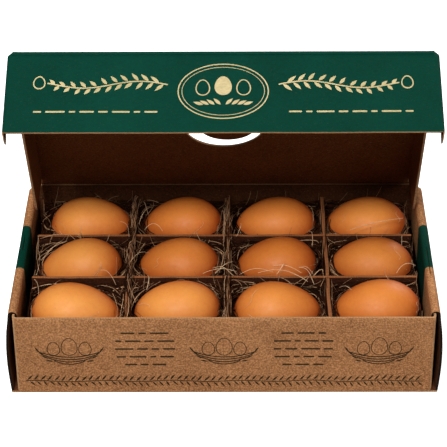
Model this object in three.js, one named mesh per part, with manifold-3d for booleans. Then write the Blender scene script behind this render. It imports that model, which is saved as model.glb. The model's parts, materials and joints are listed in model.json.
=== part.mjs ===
// Kraft egg box with an open, hinged lid. Twelve eggs lie on their sides in straw,
// in a grid of interlocked board dividers. Millimetres, +Z up, front towards -Y.
// The origin is the centre of the tray's underside.

import * as THREE from 'three';
import { mergeVertices } from 'three/addons/utils/BufferGeometryUtils.js';
import Module from 'manifold-3d';

const wasm = await Module();
wasm.setup();

// Driving dimensions
const BOARD = 1.5;                 // thickness of the corrugated board
const GAP = 0.4;                   // clearance between pieces that touch
const WIDTH = 272;                 // over the rolled side walls
const DEPTH = 152;                 // front wall's face to back wall's face
const FRONT_HEIGHT = 59;
const ROLL_TOP = 60.5;             // top of the rolled side walls
const ROLL_WIDTH = 6;
const ROLL_SETBACK = 5;            // front end of a roll, behind the front wall's face
const SIDE_BOW = 1.5;              // outward bulge of the outer side panels
const HINGE_HEIGHT = 63;           // underside of the closed lid
const LID_REACH = 153.9;           // hinge to the front flap's outer face
const LID_WIDTH = 255.6;           // over the lid's side flaps, at their creases
const LID_OPEN_DEGREES = 64;
const SIDE_FLAP_DEPTH = 26;
const SIDE_FLAP_FLARE = 1.4;
const FRONT_FLAP_HEIGHT = 59;
const EAR_THICKNESS = 0.9;
const THUMB_HOLE_RADIUS = 27.4;
const THUMB_HOLE_REACH = 73.7;     // hinge to the half-moon's straight side
const THUMB_TAB_RADIUS = 18.6;
const THUMB_TAB_REACH = 69.6;      // hinge to the middle of the tab's round end
const THUMB_TAB_X = 2.1;
const DIVIDER_THICKNESS = 2.4;
const DIVIDER_TOP = 53;
const COLUMN_DIVIDER_XS = [-62, 2.2, 67];
const ROW_DIVIDER_YS = [-22.1, 26.4];
const ROW_DIVIDER_HALF_LENGTH = 125.3;
const NEST_TOP = 37;

const HALF_DEPTH = DEPTH / 2;
const WALL_INNER_X = WIDTH / 2 - ROLL_WIDTH;
const WALL_INNER_Y = HALF_DEPTH - BOARD;
const FRONT_HALF_WIDTH = 132.9;
const FRONT_FLAP_HALF_WIDTH = FRONT_HALF_WIDTH + GAP + EAR_THICKNESS;
const BACK_WALL_TOP = HINGE_HEIGHT - GAP;

const COLOURS = {
  kraft: 0xa9794f,
  darkKraft: 0x4a2c14,
  green: 0x0b4a3d,
  straw: 0x6a5138,
};
const EGG_COLOURS = [0xd98f52, 0xe39b57, 0xcc8045, 0xdb8f4c];

// One entry for each egg, back row first and left to right: centre, half length, radius,
// direction of the blunt end, turn about the vertical and tilt of the right end upwards.
const EGGS = [
  { x: -91.5, y: 53.6, half: 28.0, radius: 20.4, blunt: -1, turn: 3, tilt: -3 },
  { x: -28.5, y: 53.7, half: 27.0, radius: 20.2, blunt: 1, turn: -2, tilt: 3 },
  { x: 35.2, y: 53.6, half: 27.6, radius: 20.4, blunt: 1, turn: 2, tilt: -1 },
  { x: 97.0, y: 53.6, half: 27.6, radius: 20.5, blunt: 1, turn: -3, tilt: 1 },
  { x: -95.2, y: 2.2, half: 27.6, radius: 20.3, blunt: 1, turn: 4, tilt: 9 },
  { x: -30.0, y: 3.6, half: 27.2, radius: 20.1, blunt: 1, turn: -1, tilt: 2 },
  { x: 34.8, y: 4.3, half: 27.2, radius: 20.4, blunt: 1, turn: 2, tilt: 3 },
  { x: 98.0, y: 4.4, half: 27.6, radius: 20.4, blunt: 1, turn: -2, tilt: -2 },
  { x: -95.2, y: -48.4, half: 29.0, radius: 20.6, blunt: -1, turn: -2, tilt: -6 },
  { x: -30.0, y: -46.0, half: 28.2, radius: 20.4, blunt: 1, turn: 2, tilt: 1 },
  { x: 34.2, y: -46.8, half: 28.2, radius: 20.4, blunt: -1, turn: -1, tilt: 0 },
  { x: 98.4, y: -44.8, half: 28.2, radius: 20.6, blunt: 1, turn: 1, tilt: 2 },
];
const EGG_HEADROOM = 0.9;          // between an egg's top and the closed lid
const COLUMNS = 4;

// Solids
function solid(geometry) {
  const bare = geometry.clone();
  bare.deleteAttribute('normal');
  bare.deleteAttribute('uv');
  const merged = mergeVertices(bare, 1e-4);
  return new wasm.Manifold(new wasm.Mesh({
    numProp: 3,
    vertProperties: new Float32Array(merged.attributes.position.array),
    triVerts: new Uint32Array(merged.index.array),
  }));
}

function geometryOf(manifold) {
  const mesh = manifold.getMesh();
  const geometry = new THREE.BufferGeometry();
  geometry.setAttribute('position', new THREE.BufferAttribute(mesh.vertProperties, 3));
  geometry.setIndex(new THREE.BufferAttribute(mesh.triVerts, 1));
  geometry.computeVertexNormals();
  return geometry;
}

function join(pieces) {
  return pieces.reduce((whole, piece) => whole.add(piece));
}

function box(x, y, z) {
  const [x0, x1] = x;
  const [y0, y1] = y;
  const [z0, z1] = z;
  const geometry = new THREE.BoxGeometry(x1 - x0, y1 - y0, z1 - z0);
  return solid(geometry.translate((x0 + x1) / 2, (y0 + y1) / 2, (z0 + z1) / 2));
}

function extrude(shape, depth, curveSegments = 6) {
  return new THREE.ExtrudeGeometry(shape, { depth, bevelEnabled: false, curveSegments });
}

// A shape drawn in (x, z), extruded along Y from y0 to y1.
function alongY(shape, y0, y1) {
  return solid(extrude(shape, y1 - y0).rotateX(Math.PI / 2).translate(0, y1, 0));
}

// A shape drawn in (y, z), extruded along X from x0 to x1.
function alongX(shape, x0, x1) {
  return solid(extrude(shape, x1 - x0).rotateX(Math.PI / 2).rotateZ(Math.PI / 2).translate(x0, 0, 0));
}

// A shape drawn in (x, y), extruded along Z from z0 to z1.
function alongZ(shape, z0, z1) {
  return solid(extrude(shape, z1 - z0).translate(0, 0, z0));
}

function outline(points) {
  return new THREE.Shape(points.map(([a, b]) => new THREE.Vector2(a, b)));
}

function mirrored(manifold) {
  return manifold.mirror([1, 0, 0]);
}

function node(name, geometry, colour, roughness = 0.9) {
  const material = new THREE.MeshStandardMaterial({ color: colour, roughness, metalness: 0 });
  const mesh = new THREE.Mesh(geometry, material);
  mesh.name = name;
  return mesh;
}

// Tray
const ROLL_RADIUS = ROLL_WIDTH / 2;
const ROLL_CENTRE_X = WIDTH / 2 - ROLL_RADIUS;
const ROLL_CENTRE_Z = ROLL_TOP - ROLL_RADIUS;

// The outer side panel's line, offset inwards by inset, from the bottom to the roll.
function outerPanelLine(inset, bottom) {
  const steps = 8;
  const points = [];
  for (let i = 0; i <= steps; i += 1) {
    const z = bottom + (ROLL_CENTRE_Z - bottom) * (i / steps);
    const bulge = SIDE_BOW * Math.sin((Math.PI * z) / ROLL_CENTRE_Z);
    const lean = 0.6 * (1 - z / ROLL_CENTRE_Z);
    points.push([WIDTH / 2 + bulge + lean - inset, z]);
  }
  return points;
}

function rollArc(radius) {
  const steps = 8;
  const points = [];
  for (let i = 1; i <= steps; i += 1) {
    const angle = (Math.PI * i) / steps;
    points.push([ROLL_CENTRE_X + radius * Math.cos(angle), ROLL_CENTRE_Z + radius * Math.sin(angle)]);
  }
  return points;
}

// Outer panel, roll and inner panel in one wall, hollow between the panels.
function sideWall() {
  const floorTop = BOARD;
  const profile = outline([[WALL_INNER_X, 0], ...outerPanelLine(0, 0), ...rollArc(ROLL_RADIUS)]);
  const hollow = outline([
    [WALL_INNER_X + BOARD, floorTop],
    ...outerPanelLine(BOARD, floorTop),
    ...rollArc(ROLL_RADIUS - BOARD),
  ]);
  profile.holes.push(hollow);
  const wall = alongY(profile, -HALF_DEPTH + ROLL_SETBACK, HALF_DEPTH - BOARD / 2);
  const lip = outline([...outerPanelLine(0, 0), ...outerPanelLine(BOARD, 0).reverse()]);
  const lipEnd = -HALF_DEPTH + ROLL_SETBACK + 1;
  return join([wall, alongY(lip, -HALF_DEPTH + GAP, lipEnd)]);
}

// The front wall turns back at both sides into a short tab inside each rolled side wall.
function frontWall() {
  const tabEnd = -HALF_DEPTH + 16;
  const radius = 2.5;
  const side = FRONT_HALF_WIDTH;
  const front = -HALF_DEPTH;
  const shape = new THREE.Shape();
  shape.moveTo(-side, tabEnd);
  shape.lineTo(-side, front + radius);
  shape.absarc(-side + radius, front + radius, radius, Math.PI, Math.PI * 1.5, false);
  shape.absarc(side - radius, front + radius, radius, Math.PI * 1.5, Math.PI * 2, false);
  shape.lineTo(side, tabEnd);
  shape.lineTo(side - BOARD, tabEnd);
  const inner = radius - BOARD;
  shape.absarc(side - radius, front + radius, inner, Math.PI * 2, Math.PI * 1.5, true);
  shape.absarc(-side + radius, front + radius, inner, Math.PI * 1.5, Math.PI, true);
  shape.lineTo(-side + BOARD, tabEnd);
  return alongZ(shape, 0, FRONT_HEIGHT);
}

// The back wall rises between the rolls, up to the lid's crease.
function backWall() {
  const wide = WIDTH / 2;
  const crease = LID_WIDTH / 2;
  const shape = outline([
    [-wide, 0], [wide, 0], [wide, ROLL_CENTRE_Z], [WALL_INNER_X, ROLL_CENTRE_Z],
    [crease, BACK_WALL_TOP], [-crease, BACK_WALL_TOP],
    [-WALL_INNER_X, ROLL_CENTRE_Z], [-wide, ROLL_CENTRE_Z],
  ]);
  return alongY(shape, HALF_DEPTH - BOARD, HALF_DEPTH);
}

function trayGeometry() {
  const floorHalf = WIDTH / 2 + 0.5;
  const floor = box([-floorHalf, floorHalf], [-HALF_DEPTH + GAP, HALF_DEPTH], [0, BOARD]);
  const wall = sideWall();
  return geometryOf(join([floor, frontWall(), backWall(), wall, mirrored(wall)]));
}

// Dividers
const DIVIDER_BOTTOM = BOARD + GAP;
const SLOT_WIDTH = DIVIDER_THICKNESS + 2 * GAP;
const SLOT_MIDDLE = (DIVIDER_TOP + DIVIDER_BOTTOM) / 2;

// A board of the given length with slots cut from its top or its bottom edge.
function slottedOutline(from, to, slots, fromTop) {
  const points = [];
  const open = fromTop ? DIVIDER_TOP : DIVIDER_BOTTOM;
  const shut = fromTop ? SLOT_MIDDLE - GAP / 2 : SLOT_MIDDLE + GAP / 2;
  const plain = fromTop ? DIVIDER_BOTTOM : DIVIDER_TOP;
  points.push([from, plain], [to, plain], [to, open]);
  for (const centre of [...slots].reverse()) {
    points.push([centre + SLOT_WIDTH / 2, open], [centre + SLOT_WIDTH / 2, shut]);
    points.push([centre - SLOT_WIDTH / 2, shut], [centre - SLOT_WIDTH / 2, open]);
  }
  points.push([from, open]);
  return outline(points);
}

function columnDivider(x) {
  const end = WALL_INNER_Y - GAP;
  const shape = slottedOutline(-end, end, ROW_DIVIDER_YS, true);
  return geometryOf(alongX(shape, x - DIVIDER_THICKNESS / 2, x + DIVIDER_THICKNESS / 2));
}

function rowDivider(y) {
  const end = ROW_DIVIDER_HALF_LENGTH;
  const shape = slottedOutline(-end, end, COLUMN_DIVIDER_XS, false);
  return geometryOf(alongY(shape, y - DIVIDER_THICKNESS / 2, y + DIVIDER_THICKNESS / 2));
}

// Eggs
function eggGeometry(egg, swell = 0, rings = 14, segments = 20) {
  const points = [];
  for (let i = 0; i <= rings; i += 1) {
    const along = -Math.cos((Math.PI * i) / rings);
    const taper = 1 + 0.11 * egg.blunt * along - 0.02 * along * along;
    const radius = (egg.radius + swell) * Math.sqrt(Math.max(0, 1 - along * along)) * taper;
    const ends = i === 0 || i === rings;
    points.push(new THREE.Vector2(ends ? 0 : radius, along * (egg.half + swell)));
  }
  return new THREE.LatheGeometry(points, segments).rotateZ(-Math.PI / 2);
}

function eggHeight(egg) {
  return HINGE_HEIGHT - EGG_HEADROOM - egg.radius;
}

function eggPlace(egg) {
  const euler = new THREE.Euler(
    0,
    -THREE.MathUtils.degToRad(egg.tilt),
    THREE.MathUtils.degToRad(egg.turn),
    'ZYX',
  );
  return new THREE.Matrix4()
    .makeRotationFromEuler(euler)
    .setPosition(egg.x, egg.y, eggHeight(egg));
}

// Straw nests
const CELL_XS = [-WALL_INNER_X, ...COLUMN_DIVIDER_XS, WALL_INNER_X];
const CELL_YS = [WALL_INNER_Y, ROW_DIVIDER_YS[1], ROW_DIVIDER_YS[0], -WALL_INNER_Y];

function cellOf(row, column) {
  const half = DIVIDER_THICKNESS / 2 + GAP;
  const left = column === 0 ? -ROW_DIVIDER_HALF_LENGTH : CELL_XS[column] + half;
  const right = column === COLUMNS - 1 ? ROW_DIVIDER_HALF_LENGTH : CELL_XS[column + 1] - half;
  const back = row === 0 ? CELL_YS[0] - GAP : CELL_YS[row] - half;
  const front = row === 2 ? CELL_YS[3] + GAP : CELL_YS[row + 1] + half;
  return { left, right, back, front };
}

function roundedRectangle({ left, right, back, front }, radius) {
  const shape = new THREE.Shape();
  shape.absarc(left + radius, front + radius, radius, Math.PI, Math.PI * 1.5, false);
  shape.absarc(right - radius, front + radius, radius, Math.PI * 1.5, Math.PI * 2, false);
  shape.absarc(right - radius, back - radius, radius, 0, Math.PI / 2, false);
  shape.absarc(left + radius, back - radius, radius, Math.PI / 2, Math.PI, false);
  return shape;
}

// A stiff strand that rises out of a nest's corner and leans along the cell's side.
function strand(corner, lean, height) {
  const path = new THREE.QuadraticBezierCurve3(
    new THREE.Vector3(corner.x, corner.y, NEST_TOP - 6),
    new THREE.Vector3(corner.x, corner.y, height),
    new THREE.Vector3(corner.x, corner.y + lean, height - 1),
  );
  const section = new THREE.Shape();
  section.absarc(0, 0, 0.7, 0, Math.PI * 2, false);
  const geometry = new THREE.ExtrudeGeometry(section, {
    steps: 5,
    curveSegments: 3,
    bevelEnabled: false,
    extrudePath: path,
  });
  return solid(geometry);
}

function nestGeometry(row, column, egg) {
  const cell = cellOf(row, column);
  const shape = roundedRectangle(cell, 3);
  const block = solid(extrude(shape, NEST_TOP - DIVIDER_BOTTOM, 2).translate(0, 0, DIVIDER_BOTTOM));
  const inset = 2.2;
  const frontLeft = { x: cell.left + inset, y: cell.front + inset };
  const backRight = { x: cell.right - inset, y: cell.back - inset };
  const backLeft = { x: frontLeft.x, y: backRight.y };
  const strands = [
    strand(frontLeft, 7 + column, 47 + row),
    strand(backRight, -8 - row, 49 - column),
    strand(backLeft, -7 - column, 46 + row),
  ];
  const hollow = solid(eggGeometry(egg, 2 * GAP, 12, 18).applyMatrix4(eggPlace(egg)));
  return geometryOf(join([block, ...strands]).subtract(hollow));
}

// Lid, drawn closed with the hinge's axis along X through the group's origin
const PANEL_END = -LID_REACH + BOARD + GAP;
const SIDE_FLAP_START = 6;
const SIDE_FLAP_TAPER = 7;

function thumbHole() {
  const shape = new THREE.Shape();
  shape.absarc(0, -THUMB_HOLE_REACH, THUMB_HOLE_RADIUS, 0, Math.PI, false);
  const tab = new THREE.Shape();
  const root = -THUMB_HOLE_REACH - 0.5;
  tab.moveTo(THUMB_TAB_X + THUMB_TAB_RADIUS, root);
  tab.lineTo(THUMB_TAB_X + THUMB_TAB_RADIUS, -THUMB_TAB_REACH);
  tab.absarc(THUMB_TAB_X, -THUMB_TAB_REACH, THUMB_TAB_RADIUS, 0, Math.PI, false);
  tab.lineTo(THUMB_TAB_X - THUMB_TAB_RADIUS, root);
  const cut = (outlineShape) => solid(extrude(outlineShape, 3 * BOARD, 14).translate(0, 0, -BOARD));
  return cut(shape).subtract(cut(tab));
}

// A side flap hangs from the panel's edge and flares out a little towards its free edge.
function sideFlap() {
  const crease = LID_WIDTH / 2;
  const profile = outline([
    [crease - BOARD, BOARD / 2], [crease - BOARD, 0],
    [crease - BOARD + SIDE_FLAP_FLARE, -SIDE_FLAP_DEPTH], [crease + SIDE_FLAP_FLARE, -SIDE_FLAP_DEPTH],
    [crease, 0], [crease, BOARD / 2],
  ]);
  const start = -SIDE_FLAP_START;
  const end = PANEL_END + 5;
  const side = outline([
    [start, BOARD], [start - SIDE_FLAP_TAPER / 3, -SIDE_FLAP_DEPTH - 1],
    [end + SIDE_FLAP_TAPER, -SIDE_FLAP_DEPTH - 1], [end, BOARD],
  ]);
  const reach = crease + SIDE_FLAP_FLARE + 1;
  return alongY(profile, PANEL_END, start).intersect(alongX(side, crease - 2 * BOARD, reach));
}

function lidGeometry() {
  const half = LID_WIDTH / 2;
  const panel = box([-half, half], [PANEL_END, -GAP], [0, BOARD]);
  const flap = sideFlap();
  return geometryOf(join([panel, flap, mirrored(flap)]).subtract(thumbHole()));
}

// Front flap, drawn folded down, in the same frame as the closed lid. Its ears turn back
// at both sides and slip into the slots at the tray's front corners.
const FLAP_CREASE_Y = -LID_REACH + BOARD + GAP / 2;

function frontFlapPlate() {
  const half = FRONT_FLAP_HALF_WIDTH;
  const clip = 3;
  const corner = 2;
  const bottom = -FRONT_FLAP_HEIGHT;
  const shoulder = LID_WIDTH / 2 + GAP;
  const top = BOARD - GAP;
  const right = [
    [half - corner, bottom], [half, bottom + corner], [half, top - clip], [half - clip, top],
    [shoulder, top], [shoulder, 0],
  ];
  const left = right.map(([x, z]) => [-x, z]).reverse();
  const shape = outline([...right, ...left]);
  return alongY(shape, -LID_REACH, -LID_REACH + BOARD);
}

// How far back an ear may reach at a depth below the crease, to clear the roll's front end
// as the lid swings about its hinge.
function earReach(depth) {
  const radius = DEPTH - ROLL_SETBACK + 2 * GAP;
  return LID_REACH - Math.sqrt(radius * radius - depth * depth);
}

function ear() {
  const top = 10;
  const bottom = FRONT_FLAP_HEIGHT - 1;
  const steps = 10;
  const points = [[-LID_REACH + BOARD / 2, -top], [-LID_REACH + BOARD / 2, -bottom]];
  for (let i = 0; i <= steps; i += 1) {
    const depth = bottom - (bottom - top) * (i / steps) ** 2;
    const rounding = Math.min(1, Math.sqrt((bottom - depth + 1) / 2.5));
    points.push([-LID_REACH + earReach(depth) * rounding, -depth]);
  }
  const outer = FRONT_FLAP_HALF_WIDTH;
  return alongX(outline(points), outer - EAR_THICKNESS, outer);
}

function frontFlapGeometry() {
  const right = ear();
  return geometryOf(join([frontFlapPlate(), right, mirrored(right)]));
}

// Assembly
const eggBox = new THREE.Group();
eggBox.add(node('tray', trayGeometry(), COLOURS.kraft));

COLUMN_DIVIDER_XS.forEach((x, i) => {
  eggBox.add(node(`column_divider_${i + 1}`, columnDivider(x), COLOURS.kraft));
});
ROW_DIVIDER_YS.forEach((y, i) => {
  eggBox.add(node(`row_divider_${i + 1}`, rowDivider(y), COLOURS.kraft));
});

EGGS.forEach((egg, i) => {
  const row = Math.floor(i / COLUMNS);
  const column = i % COLUMNS;
  const label = `r${row + 1}c${column + 1}`;
  const mesh = node(`egg_${label}`, eggGeometry(egg), EGG_COLOURS[i % EGG_COLOURS.length], 0.55);
  mesh.applyMatrix4(eggPlace(egg));
  eggBox.add(mesh);
  eggBox.add(node(`nest_${label}`, nestGeometry(row, column, egg), COLOURS.straw, 1));
});

const lidGroup = new THREE.Group();
lidGroup.position.set(0, HALF_DEPTH, HINGE_HEIGHT);
lidGroup.rotation.x = -THREE.MathUtils.degToRad(LID_OPEN_DEGREES);
lidGroup.add(node('lid', lidGeometry(), COLOURS.darkKraft));
eggBox.add(lidGroup);

const flapGroup = new THREE.Group();
flapGroup.position.set(0, FLAP_CREASE_Y, 0);
lidGroup.add(flapGroup);
const flapMesh = node('front_flap', frontFlapGeometry().translate(0, -FLAP_CREASE_Y, 0), COLOURS.green);
flapGroup.add(flapMesh);

export default eggBox;
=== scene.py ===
"""Kraft egg box with an open lid, and brown eggs lying in straw between board dividers."""

import json
import logging
import math
from contextlib import contextmanager
from dataclasses import dataclass, field, replace
from enum import Enum, IntEnum
from typing import Callable, Iterable, Iterator, Mapping, NamedTuple, Sequence

import bmesh
import bpy
import numpy as np
from mathutils import Matrix, Vector, noise

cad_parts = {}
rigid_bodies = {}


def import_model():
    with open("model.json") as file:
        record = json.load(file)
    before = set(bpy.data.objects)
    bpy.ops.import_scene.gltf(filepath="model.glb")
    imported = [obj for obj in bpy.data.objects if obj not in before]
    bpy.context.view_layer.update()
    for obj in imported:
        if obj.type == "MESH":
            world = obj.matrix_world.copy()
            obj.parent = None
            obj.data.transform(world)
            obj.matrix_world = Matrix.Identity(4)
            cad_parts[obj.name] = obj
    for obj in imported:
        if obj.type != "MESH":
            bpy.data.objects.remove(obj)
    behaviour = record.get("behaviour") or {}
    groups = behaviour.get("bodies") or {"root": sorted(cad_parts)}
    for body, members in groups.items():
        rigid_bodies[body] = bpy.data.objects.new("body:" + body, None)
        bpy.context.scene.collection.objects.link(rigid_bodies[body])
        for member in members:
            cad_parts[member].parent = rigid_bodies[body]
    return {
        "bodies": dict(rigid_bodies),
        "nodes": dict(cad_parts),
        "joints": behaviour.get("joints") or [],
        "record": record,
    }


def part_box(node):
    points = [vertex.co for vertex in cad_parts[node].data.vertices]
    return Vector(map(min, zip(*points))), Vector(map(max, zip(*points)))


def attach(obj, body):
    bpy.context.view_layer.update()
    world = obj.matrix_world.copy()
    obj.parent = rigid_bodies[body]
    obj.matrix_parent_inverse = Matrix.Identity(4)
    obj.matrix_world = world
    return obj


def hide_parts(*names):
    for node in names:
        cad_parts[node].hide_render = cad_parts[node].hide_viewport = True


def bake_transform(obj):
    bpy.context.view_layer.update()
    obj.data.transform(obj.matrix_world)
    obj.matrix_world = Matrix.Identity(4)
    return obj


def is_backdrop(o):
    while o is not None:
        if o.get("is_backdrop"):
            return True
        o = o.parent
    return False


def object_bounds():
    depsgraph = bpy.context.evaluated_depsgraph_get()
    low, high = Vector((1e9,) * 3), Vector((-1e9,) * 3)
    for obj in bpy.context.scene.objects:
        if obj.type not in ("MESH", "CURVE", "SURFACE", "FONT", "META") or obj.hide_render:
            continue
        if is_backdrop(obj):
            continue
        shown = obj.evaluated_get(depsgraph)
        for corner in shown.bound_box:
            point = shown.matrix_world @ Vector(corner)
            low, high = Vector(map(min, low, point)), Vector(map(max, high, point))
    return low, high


log = logging.getLogger("egg_box")

MM = 0.001
STRAND_SHADE = "strand_shade"

Colour = tuple[float, float, float]
Point2 = tuple[float, float]
Material = bpy.types.Material
NodeTree = bpy.types.NodeTree
Piece = bpy.types.Object
Socket = bpy.types.NodeSocket
Sockets = Mapping[str, Socket]


def srgb(*channels: int) -> Colour:
    """Linear colour of an 8-bit sRGB one, from its red, green and blue channels."""
    shares = (channel / 255 for channel in channels)
    return tuple(c / 12.92 if c <= 0.04045 else ((c + 0.055) / 1.055) ** 2.4 for c in shares)


@dataclass(frozen=True)
class BoxSizes:
    """The box's driving sizes in millimetres, as in the part's source."""

    board: float = 1.5
    gap: float = 0.4
    width: float = 272.0
    depth: float = 152.0
    front_height: float = 59.0
    roll_top: float = 60.5
    roll_width: float = 6.0
    roll_setback: float = 5.0
    side_bow: float = 1.5
    hinge_height: float = 63.0
    front_half_width: float = 132.9
    lid_reach: float = 153.9
    lid_width: float = 255.6
    side_flap_depth: float = 26.0
    side_flap_flare: float = 1.4
    front_flap_height: float = 59.0
    ear_thickness: float = 0.9
    thumb_hole_radius: float = 27.4
    thumb_hole_reach: float = 73.7
    thumb_tab_radius: float = 18.6
    thumb_tab_reach: float = 69.6
    thumb_tab_x: float = 2.1
    divider_thickness: float = 2.4
    divider_top: float = 53.0
    row_divider_half_length: float = 125.3
    egg_headroom: float = 0.9

    @property
    def half_depth(self) -> float:
        """Half of the tray's depth."""
        return self.depth / 2

    @property
    def wall_inner_x(self) -> float:
        """Inner face of a side wall."""
        return self.width / 2 - self.roll_width

    @property
    def wall_inner_y(self) -> float:
        """Inner face of the front and back walls."""
        return self.half_depth - self.board

    @property
    def flap_half_width(self) -> float:
        """Half of the front flap's width, out to its ears."""
        return self.front_half_width + self.gap + self.ear_thickness

    @property
    def panel_end(self) -> float:
        """Distance from the hinge to the lid panel's front end."""
        return self.lid_reach - self.board - self.gap

    @property
    def egg_top(self) -> float:
        """Height of the eggs' tops, just under the closed lid."""
        return self.hinge_height - self.egg_headroom


SIZES = BoxSizes()


@dataclass(frozen=True)
class EggForm:
    """One egg: its place in the tray, its size and how it lies."""

    row: int
    column: int
    x: float
    y: float
    half: float
    radius: float
    blunt: int
    turn: float
    tilt: float
    depth: float

    @property
    def label(self) -> str:
        """Row and column as they stand in the piece names."""
        return f"r{self.row}c{self.column}"

    @property
    def centre(self) -> Vector:
        """The egg's middle."""
        return Vector((self.x, self.y, SIZES.egg_top - self.radius))

    @property
    def rotation(self) -> Matrix:
        """Turn about the vertical after the tilt about the egg's own cross axis."""
        turn = Matrix.Rotation(math.radians(self.turn), 3, "Z")
        return turn @ Matrix.Rotation(-math.radians(self.tilt), 3, "Y")

    def radius_at(self, along: float) -> float:
        """Radius of a section, with along from -1 to 1 between the egg's ends."""
        taper = 1 + 0.11 * self.blunt * along - 0.02 * along * along
        return self.radius * math.sqrt(max(0.0, 1 - along * along)) * taper


EGGS = (
    EggForm(1, 1, -91.5, 53.6, 28.0, 20.4, -1, 3, -3, 0.25),
    EggForm(1, 2, -28.5, 53.7, 27.0, 20.2, 1, -2, 3, 0.85),
    EggForm(1, 3, 35.2, 53.6, 27.6, 20.4, 1, 2, -1, 0.75),
    EggForm(1, 4, 97.0, 53.6, 27.6, 20.5, 1, -3, 1, 0.55),
    EggForm(2, 1, -95.2, 2.2, 27.6, 20.3, 1, 4, 9, 0.15),
    EggForm(2, 2, -30.0, 3.6, 27.2, 20.1, 1, -1, 2, 0.85),
    EggForm(2, 3, 34.8, 4.3, 27.2, 20.4, 1, 2, 3, 0.95),
    EggForm(2, 4, 98.0, 4.4, 27.6, 20.4, 1, -2, -2, 0.7),
    EggForm(3, 1, -95.2, -48.4, 29.0, 20.6, -1, -2, -6, 0.0),
    EggForm(3, 2, -30.0, -46.0, 28.2, 20.4, 1, 2, 1, 0.2),
    EggForm(3, 3, 34.2, -46.8, 28.2, 20.4, -1, -1, 0, 0.55),
    EggForm(3, 4, 98.4, -44.8, 28.2, 20.6, 1, 1, 2, 0.8),
)


class NodeChain:
    """Adds and links the nodes of one tree with few words."""

    def __init__(self, tree: NodeTree) -> None:
        """Keeps the tree that nodes are added to."""
        self.tree = tree

    def add(self, kind: str, **settings: object) -> bpy.types.Node:
        """Adds a node and sets its properties.

        Args:
            kind: Blender's name of the node type.
            settings: properties to set on the new node.

        Returns:
            The new node.
        """
        made = self.tree.nodes.new(kind)
        for key, value in settings.items():
            setattr(made, key, value)
        return made

    def feed(self, target: Socket, value: object) -> None:
        """Links an input to another socket, or sets it to a constant.

        Args:
            target: the input socket.
            value: a socket, a number, a vector or a colour.
        """
        if isinstance(value, Socket):
            self.tree.links.new(value, target)
        else:
            target.default_value = (*value, 1.0) if target.type == "RGBA" else value

    def feed_all(self, targets: Sockets, values: Mapping[str, object]) -> None:
        """Feeds several inputs by their names."""
        for key, value in values.items():
            self.feed(targets[key], value)

    def math(self, operation: str, *values: object, clamp: bool = False) -> Socket:
        """Adds a Math node.

        Args:
            operation: the node's operation.
            values: sockets or numbers, in the order of its inputs.
            clamp: whether the result stays between 0 and 1.

        Returns:
            The result's socket.
        """
        made = self.add("ShaderNodeMath", operation=operation, use_clamp=clamp)
        for socket, value in zip(made.inputs, values):
            self.feed(socket, value)
        return made.outputs[0]

    def weigh(self, *parts: tuple[Socket, float]) -> Socket:
        """Adds up values by their weights, kept between 0 and 1.

        Args:
            parts: two or more pairs of a value and its weight.

        Returns:
            The sum's socket.
        """
        total = self.math("MULTIPLY", *parts[0])
        for part in parts[1:]:
            total = self.math("ADD", total, self.math("MULTIPLY", *part), clamp=part is parts[-1])
        return total

    def result_of(self, kind: str, values: Mapping[str, object], **settings: object) -> Sockets:
        """Adds a node with its inputs fed.

        Args:
            kind: Blender's name of the node type.
            values: its inputs by their names.
            settings: properties to set on it.

        Returns:
            Its outputs.
        """
        made = self.add(kind, **settings)
        self.feed_all(made.inputs, values)
        return made.outputs

    def mix(self, factor: object, first: object, second: object) -> Socket:
        """Adds a colour Mix node.

        Args:
            factor: a socket or a number.
            first: a socket or a colour.
            second: a socket or a colour.

        Returns:
            The mixed colour's socket.
        """
        made = self.add("ShaderNodeMix", data_type="RGBA")
        for index, value in ((0, factor), (6, first), (7, second)):
            self.feed(made.inputs[index], value)
        return made.outputs[2]

    def noise(self, where: Socket, scale: float, detail: float = 3.0,
              stretch: tuple[float, float, float] = (1, 1, 1)) -> Socket:
        """The value of a noise at a place, with a scale per metre and some finer layers."""
        mapped = self.result_of("ShaderNodeMapping", {"Vector": where, "Scale": stretch})[0]
        return self.result_of("ShaderNodeTexNoise", {
            "Vector": mapped, "Scale": scale, "Detail": detail, "Roughness": 0.6})["Fac"]

    def ramp(self, value: Socket, low: float, high: float) -> Socket:
        """Stretches a value so that low becomes 0 and high becomes 1."""
        values = {"Value": value, "From Min": low, "From Max": high}
        return self.result_of("ShaderNodeMapRange", values, clamp=True)[0]

    def place(self) -> Socket:
        """The object's own coordinates."""
        return self.add("ShaderNodeTexCoord").outputs["Object"]

    def axes(self, vector: Socket) -> Sockets:
        """The three parts of a vector, by the names of the axes."""
        return self.result_of("ShaderNodeSeparateXYZ", {"Vector": vector})

    def group(self, tree: NodeTree, values: Mapping[str, object]) -> Sockets:
        """The outputs of a shared group that is placed with its own values."""
        return self.result_of("ShaderNodeGroup", values, node_tree=tree)

    def bump(self, height: Socket, strength: float, distance: float, invert: bool = False) -> Socket:
        """The normal of a relief, from its height, its strength and its depth in metres."""
        values = {"Height": height, "Strength": strength, "Distance": distance}
        return self.result_of("ShaderNodeBump", values, invert=invert)[0]


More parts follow.
